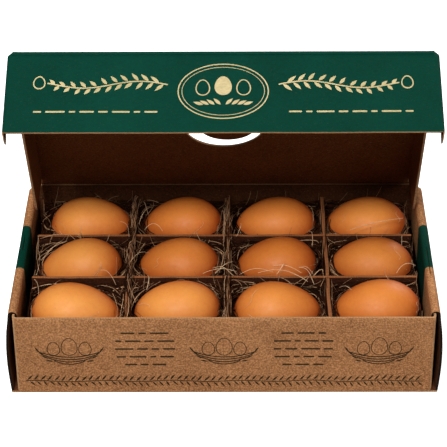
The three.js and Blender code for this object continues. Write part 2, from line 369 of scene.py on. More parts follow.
def new_group(name: str, colours: Sequence[str],
              numbers: Sequence[str]) -> tuple[NodeChain, Sockets, Sockets]:
    """Starts a shader group that puts out a surface's colour, roughness and relief.

    Args:
        name: the group's name.
        colours: the names of its inputs that are colours.
        numbers: the names of its inputs that are numbers.

    Returns:
        A chain on it, the values given to it, and the sockets for its results.
    """
    tree = bpy.data.node_groups.new(name, "ShaderNodeTree")
    chain = NodeChain(tree)
    colour, number = "NodeSocketColor", "NodeSocketFloat"
    inputs = [*((key, colour) for key in colours), *((key, number) for key in numbers)]
    outputs = [("Color", colour), ("Roughness", number), ("Height", number)]
    for side, sockets in (("INPUT", inputs), ("OUTPUT", outputs)):
        for key, kind in sockets:
            tree.interface.new_socket(key, in_out=side, socket_type=kind)
    return chain, chain.add("NodeGroupInput").outputs, chain.add("NodeGroupOutput").inputs


class Surface(Enum):
    """The shared effects, by the names of their groups."""

    BOARD = "board_fibre"
    PRINT = "print_wear"
    SHELL = "shell_mottle"


class Effects:
    """The shader groups that several finishes share, built once."""

    def __init__(self) -> None:
        """Builds every group."""
        self.groups = {
            Surface.BOARD: self._board_fibre(),
            Surface.PRINT: self._print_wear(),
            Surface.SHELL: self._shell_mottle(),
        }

    @staticmethod
    def _board_fibre() -> NodeTree:
        """Uncoated board: long pale fibres, dark flecks, cloudy shade and faint flutes.

        Returns:
            The group.
        """
        pale_fibre, dark_fleck = (0.62, 0.42, 0.26), (0.05, 0.025, 0.012)
        flute_pitch = 0.0034
        chain, given, result = new_group(Surface.BOARD.value, ("Liner", "Shade"), ("Fleck", "Flutes"))
        place = chain.place()
        clouds = chain.ramp(chain.noise(place, 30, 2), 0.30, 0.70)
        grain = chain.ramp(chain.noise(place, 950), 0.42, 0.60)
        fibres = chain.ramp(chain.noise(place, 800, 4, (0.5, 1.0, 1.0)), 0.36, 0.68)
        pale = chain.ramp(chain.noise(place, 980, 2, (0.6, 1.0, 1.0)), 0.62, 0.74)
        specks = chain.ramp(chain.noise(place, 980, 2), 0.61, 0.70)
        tone = chain.weigh((clouds, 0.20), (grain, 0.52), (fibres, 0.28))
        colour = chain.mix(tone, given["Shade"], given["Liner"])
        for spots, tint, strength in ((pale, pale_fibre, 0.4), (specks, dark_fleck, 0.6)):
            tinted = chain.mix(strength, colour, tint)
            colour = chain.mix(chain.math("MULTIPLY", spots, given["Fleck"]), colour, tinted)
        wave = chain.math("SINE", chain.math("MULTIPLY", chain.axes(place)["X"], 2 * math.pi / flute_pitch))
        flutes = chain.math("MULTIPLY", chain.math("MULTIPLY", wave, 0.4), given["Flutes"])
        chain.feed_all(result, {
            "Color": colour,
            "Roughness": chain.math("MULTIPLY_ADD", grain, 0.14, 0.78),
            "Height": chain.math("ADD", chain.math("ADD", fibres, grain), flutes),
        })
        return chain.tree

    @staticmethod
    def _print_wear() -> NodeTree:
        """Ink on rough board: uneven cover with pinholes where fibres show through.

        Returns:
            The group.
        """
        inks = ("Ink", "Thin Ink", "Board")
        chain, given, result = new_group(Surface.PRINT.value, inks, ("Pinholes",))
        place = chain.place()
        clouds = chain.ramp(chain.noise(place, 22), 0.35, 0.72)
        fibres = chain.ramp(chain.noise(place, 760, 4, (0.6, 1.0, 1.0)), 0.38, 0.68)
        ink = chain.mix(chain.weigh((clouds, 0.45), (fibres, 0.4)), given["Ink"], given["Thin Ink"])
        holes = chain.ramp(chain.noise(place, 1300, 2), 0.66, 0.76)
        chain.feed_all(result, {
            "Color": chain.mix(chain.math("MULTIPLY", holes, given["Pinholes"]), ink, given["Board"]),
            "Roughness": chain.math("MULTIPLY_ADD", fibres, 0.18, 0.58),
            "Height": fibres,
        })
        return chain.tree

    @staticmethod
    def _shell_mottle() -> NodeTree:
        """Brown shell with painted light and shade: paler where it faces up and forward towards the lamps,
        deeper on the sides turned away from them, with soft clouds of colour, fine speckles and pores.

        Returns:
            The group.
        """
        toward_lamps, freckle = (-0.12, -0.46, 0.88), (0.22, 0.07, 0.02)
        chain, given, result = new_group(Surface.SHELL.value, ("Shell", "Deep And Shade"), ("Speckle",))
        place = chain.place()
        clouds = chain.ramp(chain.noise(place, 45), 0.33, 0.70)
        grain = chain.ramp(chain.noise(place, 420), 0.38, 0.68)
        # painted light and shade: how far the shell faces up and forward towards the lamps
        lamp_facing = chain.add("ShaderNodeVectorMath", operation="DOT_PRODUCT")
        chain.feed(lamp_facing.inputs[0], chain.add("ShaderNodeTexCoord").outputs["Normal"])
        chain.feed(lamp_facing.inputs[1], toward_lamps)
        # painted shade: the sides turned away from the lamps take the deep colour, while the side facing them
        # stays pale as painted light
        side = chain.math("SUBTRACT", 1.0, chain.ramp(lamp_facing.outputs["Value"], 0.40, 1.0))
        depth = chain.weigh((chain.weigh((clouds, 0.6), (grain, 0.25)), 0.35), (side, 0.95))
        spots = chain.ramp(chain.noise(place, 1050, 2), 0.68, 0.76)
        freckled = chain.math("MULTIPLY", spots, given["Speckle"])
        pores = chain.noise(place, 1900)
        chain.feed_all(result, {
            "Color": chain.mix(freckled, chain.mix(depth, given["Shell"], given["Deep And Shade"]), freckle),
            "Roughness": chain.math("MULTIPLY_ADD", grain, 0.12, 0.47),
            "Height": chain.math("ADD", pores, chain.math("MULTIPLY", grain, 0.4)),
        })
        return chain.tree


def new_material(name: str, values: Mapping[str, object]) -> tuple[Material, NodeChain, Sockets]:
    """Starts a material with its Principled BSDF.

    Args:
        name: the material's name.
        values: the shader's inputs that stay constant.

    Returns:
        The material, a chain on its nodes and the shader's inputs.
    """
    material = bpy.data.materials.new(name)
    material.use_nodes = True
    chain = NodeChain(material.node_tree)
    shader = material.node_tree.nodes["Principled BSDF"].inputs
    chain.feed_all(shader, values)
    return material, chain, shader


@dataclass(frozen=True)
class GroupFinish:
    """A finish whose colour, roughness and relief come from one shared group."""

    name: str
    surface: Surface
    values: dict[str, object]
    bump: float
    bump_distance: float
    specular: float
    subsurface: float = 0.0

    def make(self, effects: Effects) -> Material:
        """Builds the material.

        Args:
            effects: the shared shader groups.

        Returns:
            The new material.
        """
        constants: dict[str, object] = {"Specular IOR Level": self.specular}
        if self.subsurface:
            constants["Subsurface Weight"] = self.subsurface
            constants["Subsurface Radius"] = (1.0, 0.4, 0.15)
            constants["Subsurface Scale"] = 0.003
        material, chain, shader = new_material(self.name, constants)
        surface = chain.group(effects.groups[self.surface], self.values)
        chain.feed_all(shader, {
            "Base Color": surface["Color"],
            "Roughness": surface["Roughness"],
            "Normal": chain.bump(surface["Height"], self.bump, self.bump_distance),
        })
        return material


class Axis(Enum):
    """The axis that a band is measured along."""

    ACROSS = "X"
    DEEP = "Y"


@dataclass(frozen=True)
class BandFinish:
    """A finish with another one laid over it between two places along an axis, in millimetres."""

    name: str
    base: GroupFinish
    over: GroupFinish
    axis: Axis
    low: float
    high: float
    both_sides: bool = False
    softness: float = 0.2

    def make(self, effects: Effects) -> Material:
        """Builds the base material and mixes the other colour into the band.

        Args:
            effects: the shared shader groups.

        Returns:
            The new material.
        """
        ragged_edge = 0.0014
        material = replace(self.base, name=self.name).make(effects)
        chain = NodeChain(material.node_tree)
        colour = material.node_tree.nodes["Principled BSDF"].inputs["Base Color"]
        over = chain.group(effects.groups[self.over.surface], self.over.values)
        place = chain.place()
        along = chain.axes(place)[self.axis.value]
        if self.both_sides:
            along = chain.math("ABSOLUTE", along)
        ragged = chain.math("MULTIPLY", chain.math("SUBTRACT", chain.noise(place, 500), 0.5), ragged_edge)
        along = chain.math("ADD", along, ragged)
        after, before = (chain.ramp(along, (edge - self.softness) * MM, (edge + self.softness) * MM)
                         for edge in (self.low, self.high))
        mask = chain.math("SUBTRACT", after, before, clamp=True)
        chain.feed(colour, chain.mix(mask, colour.links[0].from_socket, over["Color"]))
        return material


@dataclass(frozen=True)
class CutEdgeFinish:
    """A board's cut edge: pale liners with the dark waves of the fluting between them."""

    name: str
    pale: Colour
    dark: Colour
    pitch: float = 3.4

    def make(self) -> Material:
        """Builds the material.

        Returns:
            The new material.
        """
        material, chain, shader = new_material(self.name, {"Roughness": 0.92, "Specular IOR Level": 0.08})
        place = chain.place()
        parts = chain.axes(place)
        waves = None
        for axis in "XYZ":
            turns = chain.math("MULTIPLY", parts[axis], 2 * math.pi / (self.pitch * MM))
            wave = chain.math("ABSOLUTE", chain.math("SINE", turns))
            waves = wave if waves is None else chain.math("MULTIPLY", waves, wave)
        holes = chain.ramp(waves, 0.15, 0.6)
        rough = chain.ramp(chain.noise(place, 900), 0.35, 0.7)
        shade = chain.weigh((holes, 0.35), (rough, 0.35))
        chain.feed(shader["Base Color"], chain.mix(shade, self.pale, self.dark))
        chain.feed(shader["Normal"], chain.bump(shade, 0.6, 0.0003, invert=True))
        return material


@dataclass(frozen=True)
class StrawFinish:
    """Dry straw that takes each strand's shade from the mesh."""

    name: str
    dark: Colour
    middle: Colour
    pale: Colour
    middle_shade: float = 0.55

    def make(self) -> Material:
        """Builds the material.

        Returns:
            The new material.
        """
        material, chain, shader = new_material(self.name, {"Roughness": 0.62, "Specular IOR Level": 0.06})
        scale = chain.add("ShaderNodeValToRGB")
        stops = scale.color_ramp.elements
        stops[0].color = (*self.dark, 1)
        stops[1].color = (*self.pale, 1)
        stops.new(self.middle_shade).color = (*self.middle, 1)
        shade = chain.add("ShaderNodeAttribute", attribute_name=STRAND_SHADE)
        chain.feed(scale.inputs[0], shade.outputs["Fac"])
        colour = scale.outputs[0]
        streaks = chain.ramp(chain.noise(chain.place(), 700), 0.3, 0.75)
        chain.feed(shader["Base Color"], chain.mix(streaks, colour, chain.mix(0.55, colour, self.dark)))
        return material


class Tones(NamedTuple):
    """A finish's main colour and the one that it varies to."""

    main: Colour
    other: Colour


KRAFT = Tones(srgb(216, 156, 106), srgb(126, 79, 45))
WORN_KRAFT = Tones(srgb(222, 182, 138), KRAFT.main)
# painted shade: darker copies of the kraft for the box's inside, the lid's inner face and the dividers,
# standing in for the shade inside the box and under the lid
SHADED_INNER_KRAFT = Tones(srgb(104, 62, 36), srgb(60, 34, 18))
SHADED_LID_KRAFT = Tones(srgb(134, 82, 42), srgb(84, 48, 23))
SHADED_DIVIDER_BOARD = Tones(srgb(70, 34, 16), srgb(34, 15, 7))
GREEN = Tones(srgb(0, 52, 40), srgb(2, 66, 52))
CREAM = Tones(srgb(214, 196, 150), srgb(160, 150, 104))
INK = Tones(srgb(44, 34, 22), srgb(78, 58, 36))
KRAFT_CUT = Tones(srgb(196, 152, 110), srgb(112, 76, 46))
SHADED_CUT = Tones(srgb(38, 27, 20), srgb(14, 9, 7))
DIVIDER_CUT = Tones(srgb(158, 100, 62), srgb(72, 40, 23))
PALE_SHELL = Tones(srgb(240, 162, 78), srgb(202, 98, 36))
STRONG_SHELL = Tones(srgb(222, 130, 52), srgb(174, 72, 22))
# painted shade: the dry straw's darkest colour is near black, for strands lying in the shade of the cells
SHADED_DRY_STRAW = (srgb(12, 6, 3), srgb(106, 58, 34), srgb(246, 198, 152))
GOLDEN_STRAW = (srgb(146, 100, 64), srgb(216, 168, 118), srgb(250, 222, 184))
# painted shade: the bed's colours are near black, standing in for the shade deep in the cells
SHADED_STRAW_BED = (srgb(5, 3, 2), srgb(16, 8, 5), srgb(38, 22, 14))


class Workshop:
    """Makes every material once and hands them out by name."""

    fold_wear = (131.7, 200.0)
    side_band = (-22.0, 27.0)
    # painted light: the back row's shell colours are brightened and the front rows' darkened a little, for
    # how the light falls on the rows
    back_row_painted_light = 1.12
    front_rows_painted_light = 0.97

    def __init__(self) -> None:
        """Builds the shared groups and all finishes."""
        effects = Effects()
        kraft = self._board("kraft_liner", KRAFT, 0.8)
        green = self._ink("green_print", GREEN, KRAFT, 0.06)
        worn = self._board("worn_fold", WORN_KRAFT, 0.4)
        self.kraft = kraft.make(effects)
        folds = BandFinish("front_liner", kraft, worn, Axis.ACROSS, *self.fold_wear, True, 0.6)
        self.front = folds.make(effects)
        self.side = BandFinish("banded_liner", kraft, green, Axis.DEEP, *self.side_band).make(effects)
        # painted shade: the inside liner, the dividers and the lid's inner liner take the darker copies of
        # the kraft
        self.inner = self._board("inner_liner", SHADED_INNER_KRAFT, 0.6).make(effects)
        self.divider = self._board("shaded_divider_liner", SHADED_DIVIDER_BOARD, 0.35).make(effects)
        self.divider_cut = CutEdgeFinish("divider_cut_edge", *DIVIDER_CUT).make()
        self.lid_inner = self._board("shaded_lid_liner", SHADED_LID_KRAFT, 0.6).make(effects)
        self.green = green.make(effects)
        self.cream = self._ink("cream_print", CREAM, GREEN, 0.45).make(effects)
        self.ink = self._ink("dark_print", INK, KRAFT, 0.5).make(effects)
        self.cut = CutEdgeFinish("cut_edge", *KRAFT_CUT).make()
        self.dark_cut = CutEdgeFinish("shaded_cut_edge", *SHADED_CUT).make()
        self.straw = StrawFinish("shaded_dry_straw", *SHADED_DRY_STRAW).make()
        self.golden = StrawFinish("golden_straw", *GOLDEN_STRAW).make()
        self.bed = StrawFinish("shaded_straw_bed", *SHADED_STRAW_BED).make()
        self.shells = [self._shell(form).make(effects) for form in EGGS]

    @staticmethod
    def _board(name: str, tones: Tones, fleck: float) -> GroupFinish:
        """Bare board in two tones."""
        values = {"Liner": tones.main, "Shade": tones.other, "Fleck": fleck, "Flutes": 0.4}
        return GroupFinish(name, Surface.BOARD, values, 0.4, 0.0004, 0.08)

    @staticmethod
    def _ink(name: str, ink: Tones, under: Tones, pinholes: float) -> GroupFinish:
        """Ink that shows a little of what is under it."""
        values = {"Ink": ink.main, "Thin Ink": ink.other, "Board": under.main, "Pinholes": pinholes}
        return GroupFinish(name, Surface.PRINT, values, 0.2, 0.0003, 0.06)

    def _shell(self, form: EggForm) -> GroupFinish:
        """A shell a little lighter or deeper than its neighbours', with painted light that makes the back row
        brighter than the front rows.

        Args:
            form: the egg.

        Returns:
            Its finish.
        """
        swing = noise.noise(Vector((form.row * 3.1, form.column * 5.7, 0.4)))
        # painted light: brighter shell colours for the back row, a little darker ones for the front rows
        light = self.back_row_painted_light if form.row == 1 else self.front_rows_painted_light
        shell, deep_and_shade = (tuple(light * (a + (b - a) * form.depth) for a, b in zip(pale, strong))
                       for pale, strong in zip(PALE_SHELL, STRONG_SHELL))
        values = {"Shell": shell, "Deep And Shade": deep_and_shade, "Speckle": 0.3 + 0.2 * swing}
        return GroupFinish(f"shell_{form.label}", Surface.SHELL, values, 0.12, 0.0002, 0.28, 0.10)


def new_mesh_object(name: str, vertices: Sequence[Sequence[float]], faces: Sequence[Sequence[int]],
                    materials: Sequence[Material], indices: Sequence[int] | None = None,
                    sharp_degrees: float = 40.0) -> Piece:
    """Makes a smooth-shaded mesh object from millimetres.

    Args:
        name: the piece's name.
        vertices: places in millimetres.
        faces: vertex indices of each face.
        materials: the material slots.
        indices: the slot of each face, or nothing for the first.
        sharp_degrees: edges sharper than this stay crisp.

    Returns:
        The new object, linked to the scene.
    """
    mesh = bpy.data.meshes.new(name)
    mesh.from_pydata([tuple(c * MM for c in v) for v in vertices], [], faces)
    for material in materials:
        mesh.materials.append(material)
    if indices is not None:
        mesh.polygons.foreach_set("material_index", list(indices))
    mesh.validate()
    smooth_faces(mesh, sharp_degrees)
    made = bpy.data.objects.new(name, mesh)
    bpy.context.scene.collection.objects.link(made)
    return made


def smooth_faces(mesh: bpy.types.Mesh, sharp_degrees: float) -> None:
    """Shades a mesh smooth up to an angle between its faces."""
    mesh.polygons.foreach_set("use_smooth", [True] * len(mesh.polygons))
    mesh.set_sharp_from_angle(angle=math.radians(sharp_degrees))


def hand_over(piece: Piece, body: str, slot: str, *nodes: str) -> None:
    """Rides a finished piece on its body, hides the CAD nodes that it replaces, and reports it.

    Args:
        piece: the piece.
        body: the body that it rides on.
        slot: the record's material slot; not used.
        nodes: the CAD nodes that it replaces.
    """
    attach(piece, body)
    if nodes:
        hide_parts(*nodes)
    log.info("built %s", piece.name)


def apply_modifiers(piece: Piece) -> None:
    """Turns a piece's modifiers into plain mesh.

    Args:
        piece: the object to change.
    """
    graph = bpy.context.evaluated_depsgraph_get()
    mesh = bpy.data.meshes.new_from_object(piece.evaluated_get(graph), depsgraph=graph)
    piece.modifiers.clear()
    piece.data = mesh


def soften_edges(piece: Piece, width: float) -> None:
    """Rounds a piece's sharp edges a little.

    Args:
        piece: the object to change.
        width: the bevel's width in millimetres.
    """
    bevel = piece.modifiers.new("soft_edges", "BEVEL")
    bevel.width = width * MM
    bevel.segments = 2
    bevel.limit_method = "ANGLE"
    bevel.angle_limit = math.radians(50)
    bevel.material = -1
    apply_modifiers(piece)
    smooth_faces(piece.data, 38)


@contextmanager
def opened(piece: Piece) -> Iterator[bmesh.types.BMesh]:
    """Opens a piece's mesh for editing and writes it back afterwards.

    Args:
        piece: the object to change.

    Yields:
        The mesh while it is open.
    """
    work = bmesh.new()
    work.from_mesh(piece.data)
    yield work
    work.to_mesh(piece.data)
    work.free()


def drop_loose_vertices(piece: Piece) -> None:
    """Deletes vertices that no face uses."""
    with opened(piece) as work:
        bmesh.ops.delete(work, geom=[v for v in work.verts if not v.link_faces], context="VERTS")


def turn_faces_outwards(piece: Piece) -> None:
    """Makes every face of a closed piece look outwards."""
    with opened(piece) as work:
        bmesh.ops.recalc_face_normals(work, faces=work.faces)


def steps(start: float, end: float, pitch: float) -> list[float]:
    """Even stations from start to end, no further apart than pitch."""
    count = max(1, math.ceil(abs(end - start) / pitch))
    return [start + (end - start) * i / count for i in range(count + 1)]


def stations(marks: Iterable[float], pitch: float) -> list[float]:
    """Stations through every mark, with the stretches between them divided evenly.

    Args:
        marks: the places that have to be stations, in any order.
        pitch: the widest step.

    Returns:
        The stations in rising order.
    """
    ordered = sorted(set(marks))
    found = [ordered[0]]
    for low, high in zip(ordered, ordered[1:]):
        found.extend(steps(low, high, pitch)[1:])
    return found


class FoldedPath:
    """A line in a plane with rounded corners, walked by its length."""

    arc_steps = 5

    def __init__(self, corners: Sequence[Point2], radius: float) -> None:
        """Rounds the inner corners and measures the line.

        Args:
            corners: the line's points before rounding.
            radius: the corner radius.
        """
        points = [Vector(corners[0])]
        for before, corner, after in zip(corners, corners[1:], corners[2:]):
            here = Vector(corner)
            into = (Vector(before) - here).normalized()
            out = (Vector(after) - here).normalized()
            opening = math.acos(max(-1.0, min(1.0, into.dot(out))))
            reach = radius / math.tan(opening / 2)
            start, end = here + into * reach, here + out * reach
            for t in steps(0, 1, 1 / self.arc_steps):
                points.append(start * (1 - t) ** 2 + here * 2 * t * (1 - t) + end * t ** 2)
        points.append(Vector(corners[-1]))
        self.points = points
        lengths = [(b - a).length for a, b in zip(points, points[1:])]
        self.marks = [0.0, *np.cumsum(lengths).tolist()]

    @property
    def length(self) -> float:
        """The line's whole length."""
        return self.marks[-1]

    def at(self, distance: float) -> Vector:
        """The point at a distance from the line's start."""
        x, y = (float(np.interp(distance, self.marks, [p[axis] for p in self.points])) for axis in (0, 1))
        return Vector((x, y))


PRINTED_SLOT = 3


class Skin(IntEnum):
    """The three surfaces of a sheet of board, in the order of its material slots."""

    FACE = 0
    BACK = 1
    CUT = 2


def always(_u: float, _v: float) -> bool:
    """Keeps every cell of a sheet."""
    return True


@dataclass
class BoardSheet:
    """A bent sheet of board, from a grid on its middle surface."""

    us: Sequence[float]
    vs: Sequence[float]
    place: Callable[[float, float], Vector]
    keep: Callable[[float, float], bool] = always
    thickness: float | Callable[[float], float] = SIZES.board
    flip: bool = False

    def normal(self, u: float, v: float) -> Vector:
        """The sheet's facing direction.

        Args:
            u: the station along the sheet.
            v: the station across it.

        Returns:
            The unit normal.
        """
        reach = 0.04
        u0, u1 = max(u - reach, self.us[0]), min(u + reach, self.us[-1])
        v0, v1 = max(v - reach, self.vs[0]), min(v + reach, self.vs[-1])
        along = self.place(u1, v) - self.place(u0, v)
        across = self.place(u, v1) - self.place(u, v0)
        direction = along.cross(across).normalized()
        return -direction if self.flip else direction

    def surface(self, u: float, v: float, lift: float = 0.0) -> Vector:
        """A point on the face, lifted off it by a small distance."""
        half = self._thickness_at(u) / 2
        return self.place(u, v) + self.normal(u, v) * (half + lift)

    def _thickness_at(self, u: float) -> float:
        """The board's thickness at a station."""
        return self.thickness(u) if callable(self.thickness) else self.thickness

    def build(self, name: str, materials: Sequence[Material],
              slot_of: Callable[[float, float, Skin], int] | None = None,
              edge_round: float = 0.22) -> Piece:
        """Builds the closed sheet with its cut edges.

        Args:
            name: the piece's name.
            materials: its slots, from face, back and cut edge.
            slot_of: picks a face's slot from its middle and skin.
            edge_round: the rounding of the cut edges in millimetres.

        Returns:
            The new object.
        """
        rows, columns = len(self.us), len(self.vs)
        middle_us = [(a + b) / 2 for a, b in zip(self.us, self.us[1:])]
        middle_vs = [(a + b) / 2 for a, b in zip(self.vs, self.vs[1:])]
        kept = np.array([[self.keep(u, v) for v in middle_vs] for u in middle_us])
        vertices: list[Vector] = []
        for u in self.us:
            half = self._thickness_at(u) / 2
            for v in self.vs:
                middle, direction = self.place(u, v), self.normal(u, v)
                vertices.extend((middle + direction * half, middle - direction * half))
        faces: list[tuple[int, ...]] = []
        slots: list[int] = []

        def corner(i: int, j: int, back: bool) -> int:
            """Index of a grid corner on one of the two skins."""
            return 2 * (i * columns + j) + int(back)

        def add(loop: tuple[int, ...], i: int, j: int, skin: Skin) -> None:
            """Adds one face of a cell, turned so that it faces out."""
            faces.append(loop[::-1] if self.flip else loop)
            slots.append(slot_of(middle_us[i], middle_vs[j], skin) if slot_of else int(skin))

        def open_side(i: int, j: int) -> bool:
            """Whether a cell is missing."""
            return not (0 <= i < rows - 1 and 0 <= j < columns - 1 and kept[i, j])

        for i in range(rows - 1):
            for j in range(columns - 1):
                if not kept[i, j]:
                    continue
                ring = ((i, j), (i + 1, j), (i + 1, j + 1), (i, j + 1))
                add(tuple(corner(a, b, False) for a, b in ring), i, j, Skin.FACE)
                add(tuple(corner(a, b, True) for a, b in ring[::-1]), i, j, Skin.BACK)
                sides = (((i, j - 1), 0, 1), ((i + 1, j), 1, 2), ((i, j + 1), 2, 3), ((i - 1, j), 3, 0))
                for neighbour, first, second in sides:
                    if open_side(*neighbour):
                        a, b = ring[first], ring[second]
                        loop = (corner(*a, False), corner(*a, True), corner(*b, True), corner(*b, False))
                        add(loop, i, j, Skin.CUT)
        made = new_mesh_object(name, vertices, faces, materials, slots)
        drop_loose_vertices(made)
        if edge_round:
            soften_edges(made, edge_round)
        return made


def quarter_round(radius: float, past: float) -> float:
    """How far a rounded edge has drawn in at a distance past the round's start."""
    return radius - math.sqrt(max(0.0, radius * radius - max(0.0, past) ** 2))


def ripple(point: Vector, size: float, amount: float, seed: float) -> float:
    """A gentle unevenness of board, all in millimetres, with a seed that keeps sheets different."""
    return amount * noise.noise(point / size + Vector((seed, seed * 0.7, -seed)))


def rim(low: int, high: int, count: int) -> list[tuple[int, ...]]:
    """Faces that join two closed rings of count vertices, from each ring's first vertex."""
    pairs = [(i, (i + 1) % count) for i in range(count)]
    return [(low + i, low + j, high + j, high + i) for i, j in pairs]


@dataclass
class Tray:
    """The tray: floor, front and back walls, and side walls rolled over at the top."""

    shop: Workshop
    sizes: BoxSizes = SIZES
    fold_radius: float = 2.4
    foot_radius: float = 1.8
    tab_length: float = 16.0
    side_lean: float = 0.6
    side_flare: float = 0.5

    def build(self) -> None:
        """Builds the tray's sheets and rides them on its body."""
        for piece in (self._floor(), self._front(), self._back(), self._side(1), self._side(-1)):
            hand_over(piece, "tray", "kraft_board", "tray")

    def _materials(self, face: Material) -> list[Material]:
        """Slots for a sheet with the given face."""
        return [face, self.shop.inner, self.shop.cut]

    def _floor(self) -> Piece:
        """The flat floor, which meets the bowed side walls.

        Returns:
            The new piece.
        """
        half_x, half_y = self.sizes.width / 2 + 0.4, self.sizes.half_depth - 0.1
        sheet = BoardSheet(
            steps(-half_x, half_x, 12), steps(-half_y, half_y, 12),
            lambda u, v: Vector((u, v, self.sizes.board / 2)), flip=True,
        )
        return sheet.build("tray_floor", self._materials(self.shop.kraft))

    def front_sheet(self) -> BoardSheet:
        """The front wall with its rounded corner folds and the tabs inside the rolls.

        Returns:
            The sheet, with u along the wall from the left tab's end and v upwards.
        """
        sizes = self.sizes
        side = sizes.front_half_width - sizes.board / 2
        front = -sizes.half_depth + sizes.board / 2
        tab_end = -sizes.half_depth + self.tab_length
        corners = [(-side, tab_end), (-side, front), (side, front), (side, tab_end)]
        path = FoldedPath(corners, self.fold_radius)

        def place(u: float, v: float) -> Vector:
            """Middle surface of the front wall.

            Args:
                u: along the wall and its tabs.
                v: height.

            Returns:
                The point.
            """
            inset = quarter_round(self.foot_radius, self.foot_radius - v)
            point = path.at(u).to_3d() + Vector((0, inset, v))
            point.y += ripple(point, 46, 0.35, 1.3) * min(1.0, v / 12)
            return point

        foot_stations = [0.2, 0.6, 1.0, 1.4, 1.9]
        return BoardSheet(stations(path.marks, 5), [*foot_stations, *steps(5, sizes.front_height, 5)], place)

    def _front(self) -> Piece:
        """Builds the front wall."""
        return self.front_sheet().build("tray_front_wall", self._materials(self.shop.front))

    def _back(self) -> Piece:
        """The back wall, which rises between the rolls to the lid's crease.

        Returns:
            The new piece.
        """
        sizes = self.sizes
        crease = sizes.lid_width / 2 - sizes.gap
        low = sizes.roll_top - sizes.roll_width / 2
        high = sizes.hinge_height - sizes.gap

        def top(x: float) -> float:
            """Height of the wall's top edge."""
            return float(np.interp(abs(x), [crease, sizes.wall_inner_x], [high, low]))

        def place(u: float, v: float) -> Vector:
            """Middle surface of the back wall.

            Args:
                u: across the box.
                v: upwards, from 0 to 1.

            Returns:
                The point.
            """
            z = 0.2 + v * (top(u) - 0.2)
            point = Vector((u, sizes.half_depth - sizes.board / 2, z))
            point.y -= abs(ripple(point, 50, 0.3, 4.1)) * math.sin(math.pi * v)
            return point

        marks = [side * x for side in (-1, 1) for x in (crease, sizes.wall_inner_x, sizes.width / 2 - 0.1)]
        sheet = BoardSheet(stations(marks, 6), steps(0, 1, 0.1), place, flip=True)
        return sheet.build("tray_back_wall", self._materials(self.shop.kraft))

    def side_line(self) -> list[Point2]:
        """The right side wall's middle line in (x, z), from its bottom over the roll and down inside.

        Returns:
            The line's points.
        """
        sizes = self.sizes
        half_board = sizes.board / 2
        radius = sizes.roll_width / 2
        centre_z = sizes.roll_top - radius
        line: list[Point2] = []
        for z in steps(0.2, centre_z, 4):
            bulge = sizes.side_bow * math.sin(math.pi * z / centre_z)
            lean = self.side_lean * (1 - z / centre_z)
            line.append((sizes.width / 2 + bulge + lean - half_board, z))
        centre_x, reach = sizes.width / 2 - radius, radius - half_board
        for angle in steps(0, math.pi, math.pi / 12)[1:]:
            line.append((centre_x + reach * math.cos(angle), centre_z + reach * math.sin(angle)))
        inner = sizes.wall_inner_x + half_board
        line.extend((inner, z) for z in steps(centre_z - 3, sizes.board, 6))
        return line

    def _side(self, hand: int) -> Piece:
        """One rolled side wall.

        Args:
            hand: 1 for the right side, -1 for the left.

        Returns:
            The new piece.
        """
        sizes = self.sizes
        line = self.side_line()
        roll_z = sizes.roll_top - sizes.roll_width / 2 - 0.01
        roll_start = next(i for i, (_x, z) in enumerate(line) if z >= roll_z)
        front = -sizes.half_depth + sizes.roll_setback
        lip_front = -sizes.half_depth + sizes.gap
        back = sizes.half_depth - sizes.board - 0.05

        def place(u: float, v: float) -> Vector:
            """Middle surface of the side wall.

            Args:
                u: along the wall's line, in its points.
                v: along the box, backwards.

            Returns:
                The point.
            """
            low = int(min(max(math.floor(u), 0), len(line) - 2))
            t = u - low
            x = line[low][0] * (1 - t) + line[low + 1][0] * t
            z = line[low][1] * (1 - t) + line[low + 1][1] * t
            bend = ripple(Vector((hand * 40, v, z)), 42, 0.35, 7.7) * min(1.0, z / 14)
            near_front = max(0.0, 1 - (v - lip_front) / 30)
            rise = math.sin(math.pi * min(1.0, z / 58)) if u < roll_start else 0.0
            flare = self.side_flare * near_front ** 2 * rise
            return Vector((hand * (x + flare) + bend * (u <= roll_start + 6), v, z))

        def keep(u: float, v: float) -> bool:
            """The outer panel's lip runs on in front of the roll, with its top corner cut off."""
            lip_top = roll_start - 1.0 - 1.2 * max(0.0, (front - v) / sizes.roll_setback)
            return v > front or u < lip_top

        us = steps(0, len(line) - 1, 0.5)
        vs = stations([lip_front, lip_front + 1.5, front - 1.5, front, back], 5)
        sheet = BoardSheet(us, vs, place, keep, flip=hand > 0)
        side = "right" if hand > 0 else "left"
        return sheet.build(f"tray_side_{side}", [self.shop.side, self.shop.inner, self.shop.dark_cut])


